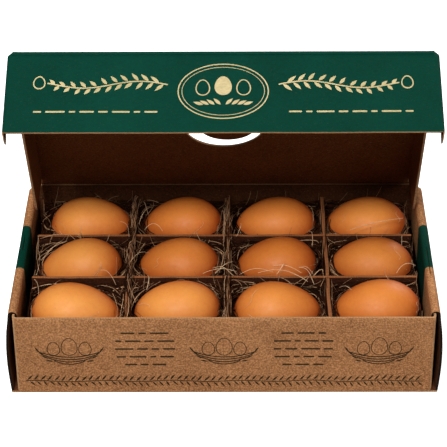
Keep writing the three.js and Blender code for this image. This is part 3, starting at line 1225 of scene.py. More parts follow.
@dataclass
class Dividers:
    """The grid of slotted boards between the eggs."""

    shop: Workshop
    sizes: BoxSizes = SIZES

    def build(self) -> None:
        """Builds each divider in the place of its node."""
        columns = [f"column_divider_{i}" for i in (1, 2, 3)]
        rows = [f"row_divider_{i}" for i in (1, 2)]
        column_xs = [self._middle(node, 0) for node in columns]
        row_ys = [self._middle(node, 1) for node in rows]
        length = self.sizes.wall_inner_y - self.sizes.gap
        for node, x in zip(columns, column_xs):
            self._board(node, x, length, row_ys, from_top=True)
        for node, y in zip(rows, row_ys):
            self._board(node, y, self.sizes.row_divider_half_length, column_xs, from_top=False)

    @staticmethod
    def _middle(node: str, axis: int) -> float:
        """Middle of a node's box along one axis, in millimetres."""
        low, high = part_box(node)
        return (low[axis] + high[axis]) / 2 / MM

    def _board(self, node: str, offset: float, half_length: float, slots: Sequence[float],
               from_top: bool) -> None:
        """Builds one slotted board.

        Args:
            node: the CAD node that it replaces.
            offset: its place across its own thickness.
            half_length: half of its length.
            slots: the places of its slots along its length.
            from_top: whether the slots are cut from the top edge.
        """
        sizes = self.sizes
        bottom = sizes.board + sizes.gap
        middle = (sizes.divider_top + bottom) / 2
        half_slot = sizes.divider_thickness / 2 + sizes.gap
        along_y = node.startswith("column")

        def place(u: float, v: float) -> Vector:
            """Middle surface of the board, a little wavy between its slots.

            Args:
                u: along the board.
                v: height.

            Returns:
                The point.
            """
            nearest = min(abs(u - s) for s in slots)
            sway = ripple(Vector((u, offset, v)), 30, 0.55, 2.9) * min(1.0, nearest / 12)
            top_wear = ripple(Vector((u, offset, 0)), 9, 0.35, 5.3) * max(0.0, (v - middle) / middle)
            if along_y:
                return Vector((offset + sway, u, v + top_wear))
            return Vector((u, offset + sway, v + top_wear))

        def keep(u: float, v: float) -> bool:
            """Leaves the slots open."""
            in_slot = any(abs(u - s) < half_slot for s in slots)
            return not (in_slot and (v > middle if from_top else v < middle))

        marks = [-half_length, half_length]
        marks += [s + side * half_slot for s in slots for side in (-1, 1)]
        sheet = BoardSheet(
            stations(marks, 3.5), stations([bottom, middle, sizes.divider_top], 4.5), place, keep,
            thickness=sizes.divider_thickness, flip=along_y,
        )
        materials = [self.shop.divider, self.shop.divider, self.shop.divider_cut]
        hand_over(sheet.build(f"board_{node}", materials, edge_round=0.4), "tray", "divider_board", node)


@dataclass
class LidFrame:
    """Turns places on the closed lid into places on the open one."""

    open_angle: float
    sizes: BoxSizes = SIZES

    def at(self, x: float, along: float, depth: float) -> Vector:
        """A place on the open lid.

        Args:
            x: across the box.
            along: distance from the hinge along the panel.
            depth: distance below the panel's inner face.

        Returns:
            The point in the box's frame, in millimetres.
        """
        c, s = math.cos(self.open_angle), math.sin(self.open_angle)
        y = self.sizes.half_depth - along * c - depth * s
        z = self.sizes.hinge_height + along * s - depth * c
        return Vector((x, y, z))

    @property
    def forward(self) -> Vector:
        """The direction along the panel, away from the hinge."""
        return self.at(0, 1, 0) - self.at(0, 0, 0)

    @property
    def outward(self) -> Vector:
        """The direction out of the panel's outer face."""
        return self.at(0, 0, -1) - self.at(0, 0, 0)


@dataclass
class Lid:
    """The lid's panel with its side flaps and half-moon thumb hole."""

    shop: Workshop
    frame: LidFrame
    sizes: BoxSizes = SIZES
    fold_radius: float = 1.3
    print_border: float = 4.5
    tab_lift_degrees: float = 6.0

    def build(self) -> None:
        """Builds the lid."""
        sizes = self.sizes
        side = sizes.lid_width / 2 - sizes.board / 2
        top = sizes.board / 2
        low = -sizes.side_flap_depth
        free = side + sizes.side_flap_flare
        path = FoldedPath([(-free, low), (-side, top), (side, top), (free, low)], self.fold_radius)
        left_fold, right_fold = path.marks[3], path.marks[-4]

        def ends(x: float, depth: float) -> Point2:
            """Where the sheet starts and stops along the lid.

            Args:
                x: across the box.
                depth: distance below the panel.

            Returns:
                Both distances from the hinge.
            """
            if depth <= 0.2 and abs(x) < side - 0.3:
                return sizes.gap, sizes.panel_end
            share = (depth + sizes.board) / (sizes.side_flap_depth + sizes.board + 1)
            return 6 + 2.33 * share, sizes.panel_end - 5 - 7 * share

        def place(u: float, v: float) -> Vector:
            """Middle surface of the lid.

            Args:
                u: along the folded line.
                v: away from the hinge, from 0 to 1.

            Returns:
                The point.
            """
            flat = path.at(u)
            start, stop = ends(flat.x, -flat.y)
            along = start + v * (stop - start)
            point = self.frame.at(flat.x, along, -flat.y)
            edge = min(1.0, 4 * v, 4 * (1 - v))
            bend = ripple(Vector((flat.x, along, 0)), 55, 0.5, 8.8) * edge
            return point + self.frame.outward * (bend if abs(flat.x) < side - 2 else 0.0)

        us = stations([*path.marks, left_fold + 1.2, right_fold - 1.2, path.length / 2], 4.2)
        sheet = BoardSheet(us, steps(0, 1, 1 / 38), place, flip=True)

        def slot_of(u: float, _v: float, skin: Skin) -> int:
            """Green print over the panel, plain board on the side flaps."""
            printed = left_fold - self.print_border < u < right_fold + self.print_border
            return PRINTED_SLOT if skin is Skin.FACE and printed else int(skin)

        materials = [self.shop.kraft, self.shop.lid_inner, self.shop.cut, self.shop.green]
        piece = sheet.build("lid_board", materials, slot_of, edge_round=0)
        self._cut_thumb_hole(piece)
        soften_edges(piece, 0.2)
        hand_over(piece, "lid", "lid_board", "lid")

    def _cut_thumb_hole(self, piece: Piece) -> None:
        """Cuts the crescent round the half-moon tab and lifts the tab a little.

        Args:
            piece: the lid's mesh object.
        """
        sizes = self.sizes
        reach = sizes.thumb_hole_reach
        outer = [(sizes.thumb_hole_radius * math.cos(a), reach - sizes.thumb_hole_radius * math.sin(a))
                 for a in steps(0, math.pi, math.pi / 40)]
        inner = [(sizes.thumb_tab_x + sizes.thumb_tab_radius * math.cos(a),
                  sizes.thumb_tab_reach - sizes.thumb_tab_radius * math.sin(a))
                 for a in steps(math.pi, 0, math.pi / 32)]
        left, right = (sizes.thumb_tab_x + side * sizes.thumb_tab_radius for side in (-1, 1))
        outline = [*outer, (left, reach), *inner, (right, reach)]
        count = len(outline)
        vertices = [self.frame.at(x, along, depth) for depth in (4, -6) for x, along in outline]
        faces = [*rim(0, count, count), tuple(range(count))[::-1], tuple(range(count, 2 * count))]
        cutter = new_mesh_object("thumb_cutter", vertices, faces, [self.shop.cut])
        turn_faces_outwards(cutter)
        cut = piece.modifiers.new("thumb_hole", "BOOLEAN")
        cut.operation = "DIFFERENCE"
        cut.solver = "EXACT"
        cut.object = cutter
        cut.material_mode = "TRANSFER"
        apply_modifiers(piece)
        bpy.data.objects.remove(cutter)
        self._lift_tab(piece)

    def _lift_tab(self, piece: Piece) -> None:
        """Turns the tab outwards about its straight side.

        Args:
            piece: the lid's mesh object.
        """
        sizes = self.sizes
        root = self.frame.at(0, sizes.thumb_hole_reach, 0)
        along, outward = self.frame.forward.normalized(), self.frame.outward.normalized()
        angle = math.radians(self.tab_lift_degrees)
        for vertex in piece.data.vertices:
            offset = vertex.co / MM - root
            back, up = -offset.dot(along), offset.dot(outward)
            x = vertex.co.x / MM - sizes.thumb_tab_x
            beyond = max(0.0, back - (sizes.thumb_hole_reach - sizes.thumb_tab_reach))
            if back <= 0 or math.hypot(x, beyond) > sizes.thumb_tab_radius + 0.3 or abs(up) > 3:
                continue
            turned_back = back * math.cos(angle) - up * math.sin(angle)
            turned_up = back * math.sin(angle) + up * math.cos(angle)
            moved = root - along * turned_back + outward * turned_up
            moved.x = vertex.co.x / MM
            vertex.co = moved * MM


@dataclass
class FrontFlap:
    """The green flap that hangs from the lid's front edge, with its two folded ears."""

    shop: Workshop
    frame: LidFrame
    sizes: BoxSizes = SIZES
    ear_top: float = 10.0
    ear_margin: float = 1.0
    ear_root: float = 1.9
    corner_clip: float = 3.0
    low_corner: float = 2.0
    side_round: float = 1.2

    @property
    def plate(self) -> float:
        """Half of the flat plate's width between the ears' folds."""
        return self.sizes.flap_half_width - self.sizes.board / 2

    @property
    def ear_bottom(self) -> float:
        """Depth of an ear's lower end."""
        return self.sizes.front_flap_height - self.ear_margin

    def ear_reach(self, depth: float) -> float:
        """How far back an ear runs, to pass in front of the roll as the lid swings.

        Args:
            depth: distance below the flap's crease.

        Returns:
            The distance behind the flap's outer face.
        """
        sizes = self.sizes
        radius = sizes.depth - sizes.roll_setback + 2 * sizes.gap
        rounding = min(1.0, math.sqrt(max(0.02, (self.ear_bottom - depth + 1) / 2.5)))
        return (sizes.lid_reach - math.sqrt(radius * radius - depth * depth)) * rounding

    def _plate_at(self, u: float, v: float) -> Vector:
        """Middle surface of the plate, with clipped upper corners and a rounded rim.

        Args:
            u: across the flap.
            v: downwards, from 0 to 1.

        Returns:
            The point.
        """
        sizes, plate = self.sizes, self.plate
        shoulder = sizes.lid_width / 2 + sizes.gap
        cut = max(0.0, abs(u) - (plate - self.corner_clip)) - (sizes.board - sizes.gap) * (abs(u) >= shoulder)
        round_low = quarter_round(self.low_corner, abs(u) - plate + self.low_corner)
        depth = cut + v * (sizes.front_flap_height - round_low - cut)
        behind = sizes.board / 2 + quarter_round(self.side_round, abs(u) - plate + self.side_round)
        calm = min(1.0, depth / 10) * min(1.0, (plate - abs(u)) / 10)
        bend = ripple(Vector((u, depth, 0)), 60, 0.45, 6.2) * calm
        return self.frame.at(u, sizes.lid_reach - behind - bend, depth)

    def _ear_at(self, u: float, v: float) -> Vector:
        """Middle surface of an ear, the last millimetre of u.

        Args:
            u: across the flap.
            v: downwards, from 0 to 1.

        Returns:
            The point.
        """
        hand = 1 if u > 0 else -1
        share = min(1.0, abs(u) - self.plate)
        depth = self.ear_top + v * (self.ear_bottom - self.ear_top)
        behind = self.ear_root + share * (self.ear_reach(depth) - self.ear_root)
        side = self.sizes.flap_half_width - self.sizes.ear_thickness / 2
        return self.frame.at(hand * side, self.sizes.lid_reach - behind, depth)

    def sheet(self) -> BoardSheet:
        """The flap and its ears as one bent sheet.

        Returns:
            The sheet, with u across the flap from ear to ear and v downwards from 0 to 1.
        """
        plate = self.plate
        shoulder = self.sizes.lid_width / 2 + self.sizes.gap

        def place(u: float, v: float) -> Vector:
            """Middle surface: the plate for |u| up to its half width, an ear beyond."""
            return self._plate_at(u, v) if abs(u) <= plate else self._ear_at(u, v)

        def thickness(u: float) -> float:
            """Thinner, pressed board in the ears."""
            return self.sizes.ear_thickness if abs(u) > plate else self.sizes.board

        marks = [plate + 1, plate + 0.001, plate, plate - 0.4, plate - self.side_round, plate - 2,
                 plate - self.corner_clip, shoulder, shoulder - 0.05]
        us = stations([side * mark for side in (-1, 1) for mark in marks], 4.0)
        ear_stations = [side * (plate + 1 - i * 0.125) for side in (-1, 1) for i in range(8)]
        vs = [1 - (i / 20) ** 1.5 for i in range(20, -1, -1)]
        return BoardSheet(sorted({*us, *ear_stations}), vs, place, thickness=thickness, flip=True)

    def build(self) -> BoardSheet:
        """Builds the flap.

        Returns:
            The sheet, for the print that lies on it.
        """
        sheet = self.sheet()

        def slot_of(u: float, _v: float, skin: Skin) -> int:
            """Green on the plate, plain board on the ears."""
            return PRINTED_SLOT if skin is Skin.FACE and abs(u) < self.plate else int(skin)

        materials = [self.shop.kraft, self.shop.inner, self.shop.cut, self.shop.green]
        piece = sheet.build("front_flap_board", materials, slot_of, edge_round=0.18)
        hand_over(piece, "front_flap", "printed_green_board", "front_flap")
        return sheet


class Motif:
    """Outlines of simple printed shapes, in the plane of a sheet."""

    @staticmethod
    def oval(x: float, y: float, wide: float, tall: float, tip: float = 0.0, count: int = 28) -> list[Point2]:
        """An oval.

        Args:
            x: its middle across.
            y: its middle upwards.
            wide: its width.
            tall: its height.
            tip: how much its upper end narrows, as an egg's does.
            count: the number of points.

        Returns:
            Its outline.
        """
        points = []
        for i in range(count):
            a = 2 * math.pi * i / count
            narrow = 1 - tip * math.sin(a)
            points.append((x + wide / 2 * math.cos(a) * narrow, y + tall / 2 * math.sin(a)))
        return points

    @staticmethod
    def egg(x: float, y: float, wide: float, tall: float) -> list[Point2]:
        """The outline of an egg that stands on its blunt end."""
        return Motif.oval(x, y, wide, tall, 0.14)

    @staticmethod
    def bar(x: float, y: float, wide: float, tall: float) -> list[Point2]:
        """A bar with round ends.

        Args:
            x: its middle across.
            y: its middle upwards.
            wide: its length.
            tall: its thickness.

        Returns:
            Its outline, with points along its length.
        """
        radius = tall / 2
        left, right = x - wide / 2 + radius, x + wide / 2 - radius
        turn = steps(-math.pi / 2, math.pi / 2, math.pi / 5)
        points = [(u, y - radius) for u in steps(left, right, 6)[:-1]]
        points += [(right + radius * math.cos(a), y + radius * math.sin(a)) for a in turn]
        points += [(u, y + radius) for u in steps(right, left, 6)[1:-1]]
        points += [(left - radius * math.cos(a), y - radius * math.sin(a)) for a in turn]
        return points

    @staticmethod
    def leaf(x: float, y: float, length: float, wide: float, degrees: float) -> list[Point2]:
        """A pointed leaf.

        Args:
            x: its foot across.
            y: its foot upwards.
            length: its length.
            wide: its width.
            degrees: the angle that it grows at.

        Returns:
            Its outline.
        """
        along = steps(0, 1, 1 / 7)
        edge = [(t * length, wide / 2 * math.sin(math.pi * t) * (1.15 - 0.5 * t)) for t in along]
        edge += [(p, -q) for p, q in edge[-2:0:-1]]
        c, s = math.cos(math.radians(degrees)), math.sin(math.radians(degrees))
        return [(x + p * c - q * s, y + p * s + q * c) for p, q in edge]

    @staticmethod
    def line(points: Sequence[Point2], wide: float) -> list[Point2]:
        """A line of even width.

        Args:
            points: the places that it runs through.
            wide: its width.

        Returns:
            Its outline.
        """
        upper, lower = [], []
        last = len(points) - 1
        for i, (x, y) in enumerate(points):
            before, after = points[max(0, i - 1)], points[min(last, i + 1)]
            run = Vector((after[0] - before[0], after[1] - before[1])).normalized()
            upper.append((x - run.y * wide / 2, y + run.x * wide / 2))
            lower.append((x + run.y * wide / 2, y - run.x * wide / 2))
        return upper + lower[::-1]


@dataclass
class PrintLayer:
    """Thin printed shapes that lie on a sheet."""

    name: str
    material: Material
    surface: Callable[[float, float, float], Vector]
    lift: float = 0.03
    film: float = 0.05
    vertices: list[Vector] = field(default_factory=list)
    faces: list[tuple[int, ...]] = field(default_factory=list)

    def _lay(self, *outlines: Sequence[Point2]) -> list[int]:
        """Adds the vertices of some outlines, under the film and on it.

        Args:
            outlines: rings with as many points.

        Returns:
            The first vertex of each ring, the lower ones first.
        """
        count, base = len(outlines[0]), len(self.vertices)
        for height in (self.lift, self.lift + self.film):
            for outline in outlines:
                self.vertices.extend(self.surface(x, y, height) for x, y in outline)
        return [base + k * count for k in range(2 * len(outlines))]

    def fill(self, outline: Sequence[Point2]) -> None:
        """Adds a filled shape.

        Args:
            outline: its points in order.
        """
        count = len(outline)
        low, high = self._lay(outline)
        self.faces.append(tuple(range(low, low + count))[::-1])
        self.faces.append(tuple(range(high, high + count)))
        self.faces.extend(rim(low, high, count))

    def ring(self, outer: Sequence[Point2], inner: Sequence[Point2]) -> None:
        """Adds a closed line between two outlines with as many points.

        Args:
            outer: the outer outline.
            inner: the inner outline.
        """
        low_out, low_in, high_out, high_in = self._lay(outer, inner)
        for low, high in ((low_in, low_out), (high_out, high_in), (low_out, high_out), (high_in, low_in)):
            self.faces.extend(rim(low, high, len(outer)))

    def build(self, body: str, slot: str) -> None:
        """Makes the print's mesh.

        Args:
            body: the body that it rides on.
            slot: the record's material slot.
        """
        piece = new_mesh_object(self.name, self.vertices, self.faces, [self.material], sharp_degrees=30)
        turn_faces_outwards(piece)
        hand_over(piece, body, slot)


@dataclass
class FlapPrint:
    """The cream design on the front flap: eggs in an oval, with a leafy branch on either side."""

    shop: Workshop
    sheet: BoardSheet
    height: float = SIZES.front_flap_height
    stem_start: float = 34.0
    stem_end: float = 108.0
    leaf_pitch: float = 6.4
    dash_start: float = 40.0
    dash_height: float = -14.5
    dashes: tuple[float, ...] = (8, 4, 11, 6, 9, 4, 12, 5)

    def build(self) -> None:
        """Draws the design."""
        def surface(x: float, y: float, lift: float) -> Vector:
            """A place on the flap from its middle, with y upwards."""
            return self.sheet.surface(x, (self.height / 2 - y) / self.height, lift)

        self.layer = PrintLayer("flap_print", self.shop.cream, surface)
        self._oval()
        for side in (-1, 1):
            self._branch(side)
        self.layer.build("front_flap", "printed_green_board")

    def _oval(self) -> None:
        """Three eggs over leaves in a double oval."""
        layer = self.layer
        for wide, tall, line in ((56, 41, 1.5), (51, 36, 0.8)):
            layer.ring(*(Motif.oval(0, 0.5, wide - k, tall - k, count=56) for k in (0, line)))
        layer.fill(Motif.egg(0, 4.5, 10.5, 14))
        for side in (-1, 1):
            layer.ring(*(Motif.egg(side * 12.5, 3.2, 9 - k, 12 - k) for k in (0, 1.4)))
            for step in range(4):
                foot = side * (1.5 + 3.6 * step)
                layer.fill(Motif.leaf(foot, -9.5, 6.4, 2.4, 90 - side * (44 + 9 * step)))

    def _branch(self, side: int) -> None:
        """A wavy stem with leaves on both sides and an egg at its tip, over a row of dashes.

        Args:
            side: 1 for the right, -1 for the left.
        """
        layer = self.layer

        def stem(x: float) -> float:
            """The stem's height at a distance from the middle."""
            return 5.5 + 2.6 * math.sin((x - self.stem_start) / 11)

        layer.fill(Motif.line([(side * x, stem(x)) for x in steps(self.stem_start, self.stem_end, 2)], 0.9))
        for index, x in enumerate(steps(self.stem_start + 4, self.stem_end - 6, self.leaf_pitch)):
            for up in (-1, 1):
                lean = 42 + 5 * (index % 3)
                degrees = up * lean if side > 0 else 180 - up * lean
                foot = side * (x + 1.4 * up)
                layer.fill(Motif.leaf(foot, stem(x) + 0.6 * up, 7.4 - 0.25 * index, 2.5, degrees))
        tip = stem(self.stem_end) + 0.4
        layer.ring(*(Motif.egg(side * (self.stem_end + 5), tip, wide, wide * 1.3) for wide in (7.6, 6.2)))
        x = self.dash_start
        for wide in self.dashes:
            layer.fill(Motif.bar(side * (x + wide / 2), self.dash_height, wide, 1.2))
            x += wide + 2.4


@dataclass
class WallPrint:
    """The dark design on the front wall: nests of eggs, short dashes between them and a leafy garland."""

    shop: Workshop
    sheet: BoardSheet
    nest_spacing: float = 98.0
    nest_foot: float = 30.0
    block_spacing: float = 50.0
    block_top: float = 47.5
    row_pitch: float = 6.2
    garland_height: float = 9.5
    left_rows: tuple[tuple[float, ...], ...] = (
        (9, 5, 12), (4, 10, 6, 11), (12, 7, 5, 8), (6, 11, 4, 9), (8, 5, 9))
    right_rows: tuple[tuple[float, ...], ...] = (
        (8, 11, 5), (11, 4, 9, 7), (5, 8, 12, 6), (10, 4, 7, 9), (6, 9, 7))

    def build(self) -> None:
        """Draws the design."""
        middle = (self.sheet.us[0] + self.sheet.us[-1]) / 2

        def surface(x: float, y: float, lift: float) -> Vector:
            """A place on the wall from its middle line and its foot."""
            return self.sheet.surface(middle + x, y, lift)

        self.layer = PrintLayer("wall_print", self.shop.ink, surface)
        for side in (-1, 0, 1):
            self._nest(side * self.nest_spacing)
        self._dashes(-self.block_spacing, self.left_rows)
        self._dashes(self.block_spacing, self.right_rows)
        self._garland()
        self.layer.build("tray", "kraft_board")

    def _dashes(self, centre: float, rows: Sequence[Sequence[float]]) -> None:
        """A block of rows of short bars.

        Args:
            centre: the block's middle along the wall.
            rows: the widths of each row's bars.
        """
        space = 2.2
        for index, widths in enumerate(rows):
            x = centre - (sum(widths) + space * (len(widths) - 1)) / 2
            for wide in widths:
                self.layer.fill(Motif.bar(x + wide / 2, self.block_top - index * self.row_pitch, wide, 1.2))
                x += wide + space

    def _nest(self, centre: float) -> None:
        """Three egg outlines in a nest of bent lines.

        Args:
            centre: the nest's middle along the wall.
        """
        layer = self.layer
        for x, tall in ((-10, 11), (0, 14), (10, 11)):
            y = self.nest_foot + tall / 2
            layer.ring(*(Motif.egg(centre + x, y, tall * 0.76 - k, tall - k) for k in (0, 1.0)))
        for index, reach in enumerate((20, 17.5, 14, 10)):
            sag = 4.4 - 0.5 * index
            arc = [(centre + reach * t, 33.2 - 2.4 * index - sag * (1 - t * t)) for t in steps(-1, 1, 0.1)]
            layer.fill(Motif.line(arc, 0.7))
        for side in (-1, 1):
            for step in range(4):
                foot = centre + side * (19.0 - 2.8 * step)
                layer.fill(Motif.leaf(foot, 32.4 - 2.4 * step, 5.4, 1.2, 90 - side * (34 + 14 * step)))

    def _garland(self) -> None:
        """A line along the foot with a leaf over it and a leaf under it at every step."""
        layer = self.layer

        def height(x: float) -> float:
            """The line's height."""
            return self.garland_height + 0.5 * math.sin(x / 7)

        layer.fill(Motif.line([(x, height(x)) for x in steps(-127, 127, 2)], 0.6))
        for index, x in enumerate(steps(-126, 122, 4.4)):
            layer.fill(Motif.leaf(x, height(x) + 0.4, 5.6, 1.3, 48 + 6 * (index % 2)))
            layer.fill(Motif.leaf(x + 1.6, height(x) - 0.4, 5.0, 1.2, -46 - 6 * (index % 3)))


@dataclass
class Crease:
    """A strip of liner, bent to the crease where two boards meet at a joint."""

    name: str
    bodies: tuple[str, str]
    slot: str
    half_width: float
    materials: Sequence[Material]
    thickness: float = 0.3

    def build(self, profile: Sequence[Vector], start: Vector, end: Vector) -> None:
        """Builds the strip.

        Args:
            profile: its middle line at x = 0, from the first body to the second.
            start: where it stops following the first body alone; not used.
            end: where it follows the second body alone; not used.
        """
        marks = [0.0]
        for a, b in zip(profile, profile[1:]):
            marks.append(marks[-1] + (b - a).length)

        def place(u: float, v: float) -> Vector:
            """Middle surface of the strip."""
            y, z = (float(np.interp(v, marks, [p[axis] for p in profile])) for axis in (1, 2))
            return Vector((u, y, z))

        us = steps(-self.half_width, self.half_width, 8)
        sheet = BoardSheet(us, stations(marks, 0.4), place, thickness=self.thickness, flip=True)
        piece = sheet.build(self.name, self.materials, edge_round=0)
        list(self.bodies)
        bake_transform(piece)
        log.info("built %s", piece.name)


@dataclass
class Creases:
    """The lid's hinge and the front flap's fold, with liner strips on their outside."""

    shop: Workshop
    frame: LidFrame
    sizes: BoxSizes = SIZES

    def build(self) -> None:
        """Builds both strips."""
        self._hinge()
        self._fold()

    def _hinge(self) -> None:
        """The strip from the back wall's top to the lid."""
        sizes, shop = self.sizes, self.shop
        half_width = sizes.lid_width / 2 + 0.9
        strip = Crease("hinge_crease", ("tray", "lid"), "kraft_board", half_width,
                       [shop.green, shop.lid_inner, shop.lid_inner])
        back = sizes.half_depth + strip.thickness / 2
        top = sizes.hinge_height - sizes.gap
        outer = -sizes.board - strip.thickness / 2
        wall = [Vector((0, back, top - 1.4)), Vector((0, back, top))]
        lid = [self.frame.at(0, along, outer) for along in (0.2, 1.6)]
        strip.build([*wall, *lid], wall[1], self.frame.at(0, 0.6, outer))

    def _fold(self) -> None:
        """The strip from the lid round its front edge to the flap."""
        sizes, shop = self.sizes, self.shop
        strip = Crease("flap_fold", ("lid", "front_flap"), "printed_green_board", sizes.flap_half_width - 3.2,
                       [shop.green, shop.lid_inner, shop.green])
        outer = -sizes.board - strip.thickness / 2
        end, face = sizes.panel_end, sizes.lid_reach + strip.thickness / 2
        places = ((end - 1.4, outer), (end, outer), (end + 1.1, outer + 0.3), (face - 0.3, -0.7), (face, 0.4),
                  (face, 1.5))
        fold = [self.frame.at(0, along, depth) for along, depth in places]
        strip.build(fold, fold[1], fold[4])


@dataclass
class Eggs:
    """The eggs, smooth and slightly uneven."""

    shop: Workshop
    rings: int = 40
    segments: int = 56
    slots: tuple[str, str, str] = ("egg_shell_dark", "egg_shell_warm", "egg_shell_front")

    def build(self) -> None:
        """Builds every egg in the place of its node."""
        for form, material in zip(EGGS, self.shop.shells):
            hand_over(self._egg(form, material), "tray", self.slots[form.row - 1], f"egg_{form.label}")

    def _egg(self, form: EggForm, material: Material) -> Piece:
        """One egg's mesh.

        Args:
            form: its sizes and how it lies.
            material: its shell.

        Returns:
            The new object.
        """
        vertices: list[Vector] = []
        turned, centre = form.rotation, form.centre
        for i in range(self.rings + 1):
            along = -math.cos(math.pi * i / self.rings)
            radius = form.radius_at(along)
            for j in range(1 if i in (0, self.rings) else self.segments):
                angle = 2 * math.pi * j / self.segments
                local = Vector((along * form.half, radius * math.cos(angle), radius * math.sin(angle)))
                lump = noise.noise(local / 19 + Vector((form.row, form.column, 3)))
                vertices.append(turned @ (local * (1 + 0.006 * (lump - 0.6))) + centre)
        faces: list[tuple[int, ...]] = []
        last, end = len(vertices) - 1, 1 + (self.rings - 2) * self.segments
        for j in range(self.segments):
            k = (j + 1) % self.segments
            faces.extend([(0, 1 + k, 1 + j), (last, end + j, end + k)])
        for i in range(self.rings - 2):
            low = 1 + i * self.segments
            faces.extend(rim(low, low + self.segments, self.segments))
        return new_mesh_object(f"shell_{form.label}", vertices, faces, [material])


class StrandKind(Enum):
    """How a strand lies in its nest, with its share of the nest's strands."""

    ROUND = 0.54
    LOOSE = 0.40
    RISING = 0.06


@dataclass(frozen=True)
class Strand:
    """One strand: its middle line in millimetres, its radius and its shade from 0 to 1."""

    path: np.ndarray
    radius: float
    shade: float


@dataclass(frozen=True)
class StrandMix:
    """A kind of strand: how many in a nest, how long, how thick and what share of them is pale."""

    name: str
    count: int
    length: Point2
    radius: Point2
    pale_share: float


class Cell:
    """The room between the dividers round one egg."""

    floor: float = 32.0
    front_top: float = 45.5
    divider_limit: float = 50.5
    top: float = SIZES.egg_top

    def __init__(self, form: EggForm) -> None:
        """Measures the room.

        Args:
            form: the egg in it.
        """
        self.form = form
        self.low, self.high = (np.array(corner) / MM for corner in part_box(f"nest_{form.label}"))
        self.turned = np.array(form.rotation)
        self.centre = np.array(form.centre)

    def flat(self, angle: float, reach: float, height: float) -> np.ndarray:
        """A place round the egg.

        Args:
            angle: its direction from the egg's middle.
            reach: its distance in egg outlines.
            height: its height in the box.

        Returns:
            The place in millimetres.
        """
        along, across = self.form.half * reach, (self.form.radius + 1) * reach
        local = np.array([along * math.cos(angle), across * math.sin(angle), 0.0])
        place = local @ self.turned.T + self.centre
        place[2] = height
        return place

    def clear(self, path: np.ndarray, radius: float) -> np.ndarray:
        """Moves a path sideways out of the egg, and into the room.

        Args:
            path: rows of places.
            radius: the strand's radius.

        Returns:
            The moved path.
        """
        form = self.form
        local = (path - self.centre) @ self.turned
        axes = np.array([form.half, form.radius * 1.04]) + 0.4 + radius
        height = np.clip(local[:, 2:3] / (form.radius + 0.6), -1, 0.93)
        section = np.sqrt(1 - height * np.abs(height) * (height > 0))
        reach = np.sqrt(((local[:, :2] / (axes * section)) ** 2).sum(-1, keepdims=True))
        local[:, :2] = np.where(reach < 1, local[:, :2] / np.maximum(reach, 0.05), local[:, :2])
        in_front = np.clip((-local[:, 1] / form.radius - 0.1) * 3, 0, 1)
        in_front *= np.abs(local[:, 0]) < 0.9 * form.half
        path = local @ self.turned.T + self.centre
        inset = 0.3 + radius
        low = [self.low[0] + inset, self.low[1] + inset, self.floor]
        high = [self.high[0] - inset, self.high[1] - inset, self.top - radius]
        path = np.clip(path, low, high)
        path[:, 2] = np.minimum(path[:, 2], self.top - in_front * (self.top - self.front_top))
        return path

    def lower(self, path: np.ndarray) -> np.ndarray:
        """Presses a path down so that it ends below the tops of the dividers."""
        over = path[:, 2].max() - self.divider_limit
        return path - np.array((0, 0, max(0.0, over)))

    def settle(self, path: np.ndarray, radius: float) -> np.ndarray:
        """Smooths a path while it keeps clear of the egg.

        Args:
            path: rows of places.
            radius: the strand's radius.

        Returns:
            The smoothed path.
        """
        for _ in range(3):
            path = self.clear(path, radius)
            path[1:-1] = 0.5 * path[1:-1] + 0.25 * (path[:-2] + path[2:])
        return self.clear(path, radius)


class Stray(NamedTuple):
    """Where a stray strand starts, the way it heads in radians, its length and its height."""

    x: float
    y: float
    heading: float
    length: float
    height: float


STRAYS = tuple(Stray(*values) for values in (
    (-124, -12, 1.2, 34, 47), (-122, 4, 0.9, 28, 48), (-120, -40, 1.4, 26, 49), (-124, 24, -0.3, 22, 52),
    (10, -21, 0.25, 22, 54), (22, -20, 0.1, 34, 54.5), (34, -21, 0.6, 14, 54), (50, -20, 2.9, 20, 54.5),
    (58, -22, 2.4, 12, 54), (-6, -21, 0.5, 18, 55), (-14, -20, 0.1, 22, 54), (6, -24, 2.6, 16, 55),
    (84, 27, 0.06, 40, 56.5), (118, 10, 1.7, 22, 50), (120, -8, 1.9, 26, 48), (112, -20, 1.0, 16, 54),
    (-58, 36, 1.4, 22, 56), (-52, 46, 2.0, 18, 56), (-64, 20, 1.7, 20, 56), (-54, 30, 0.9, 14, 55),
    (60, 40, 1.5, 20, 55), (58, 10, 1.4, 18, 55), (58, -34, 1.9, 22, 55), (-70, -34, 2.0, 20, 55),
    (-50, -38, 1.3, 16, 54), (-62, -8, 0.8, 16, 55), (74, -36, -0.5, 12, 54), (8, 22, 1.0, 16, 55),
))


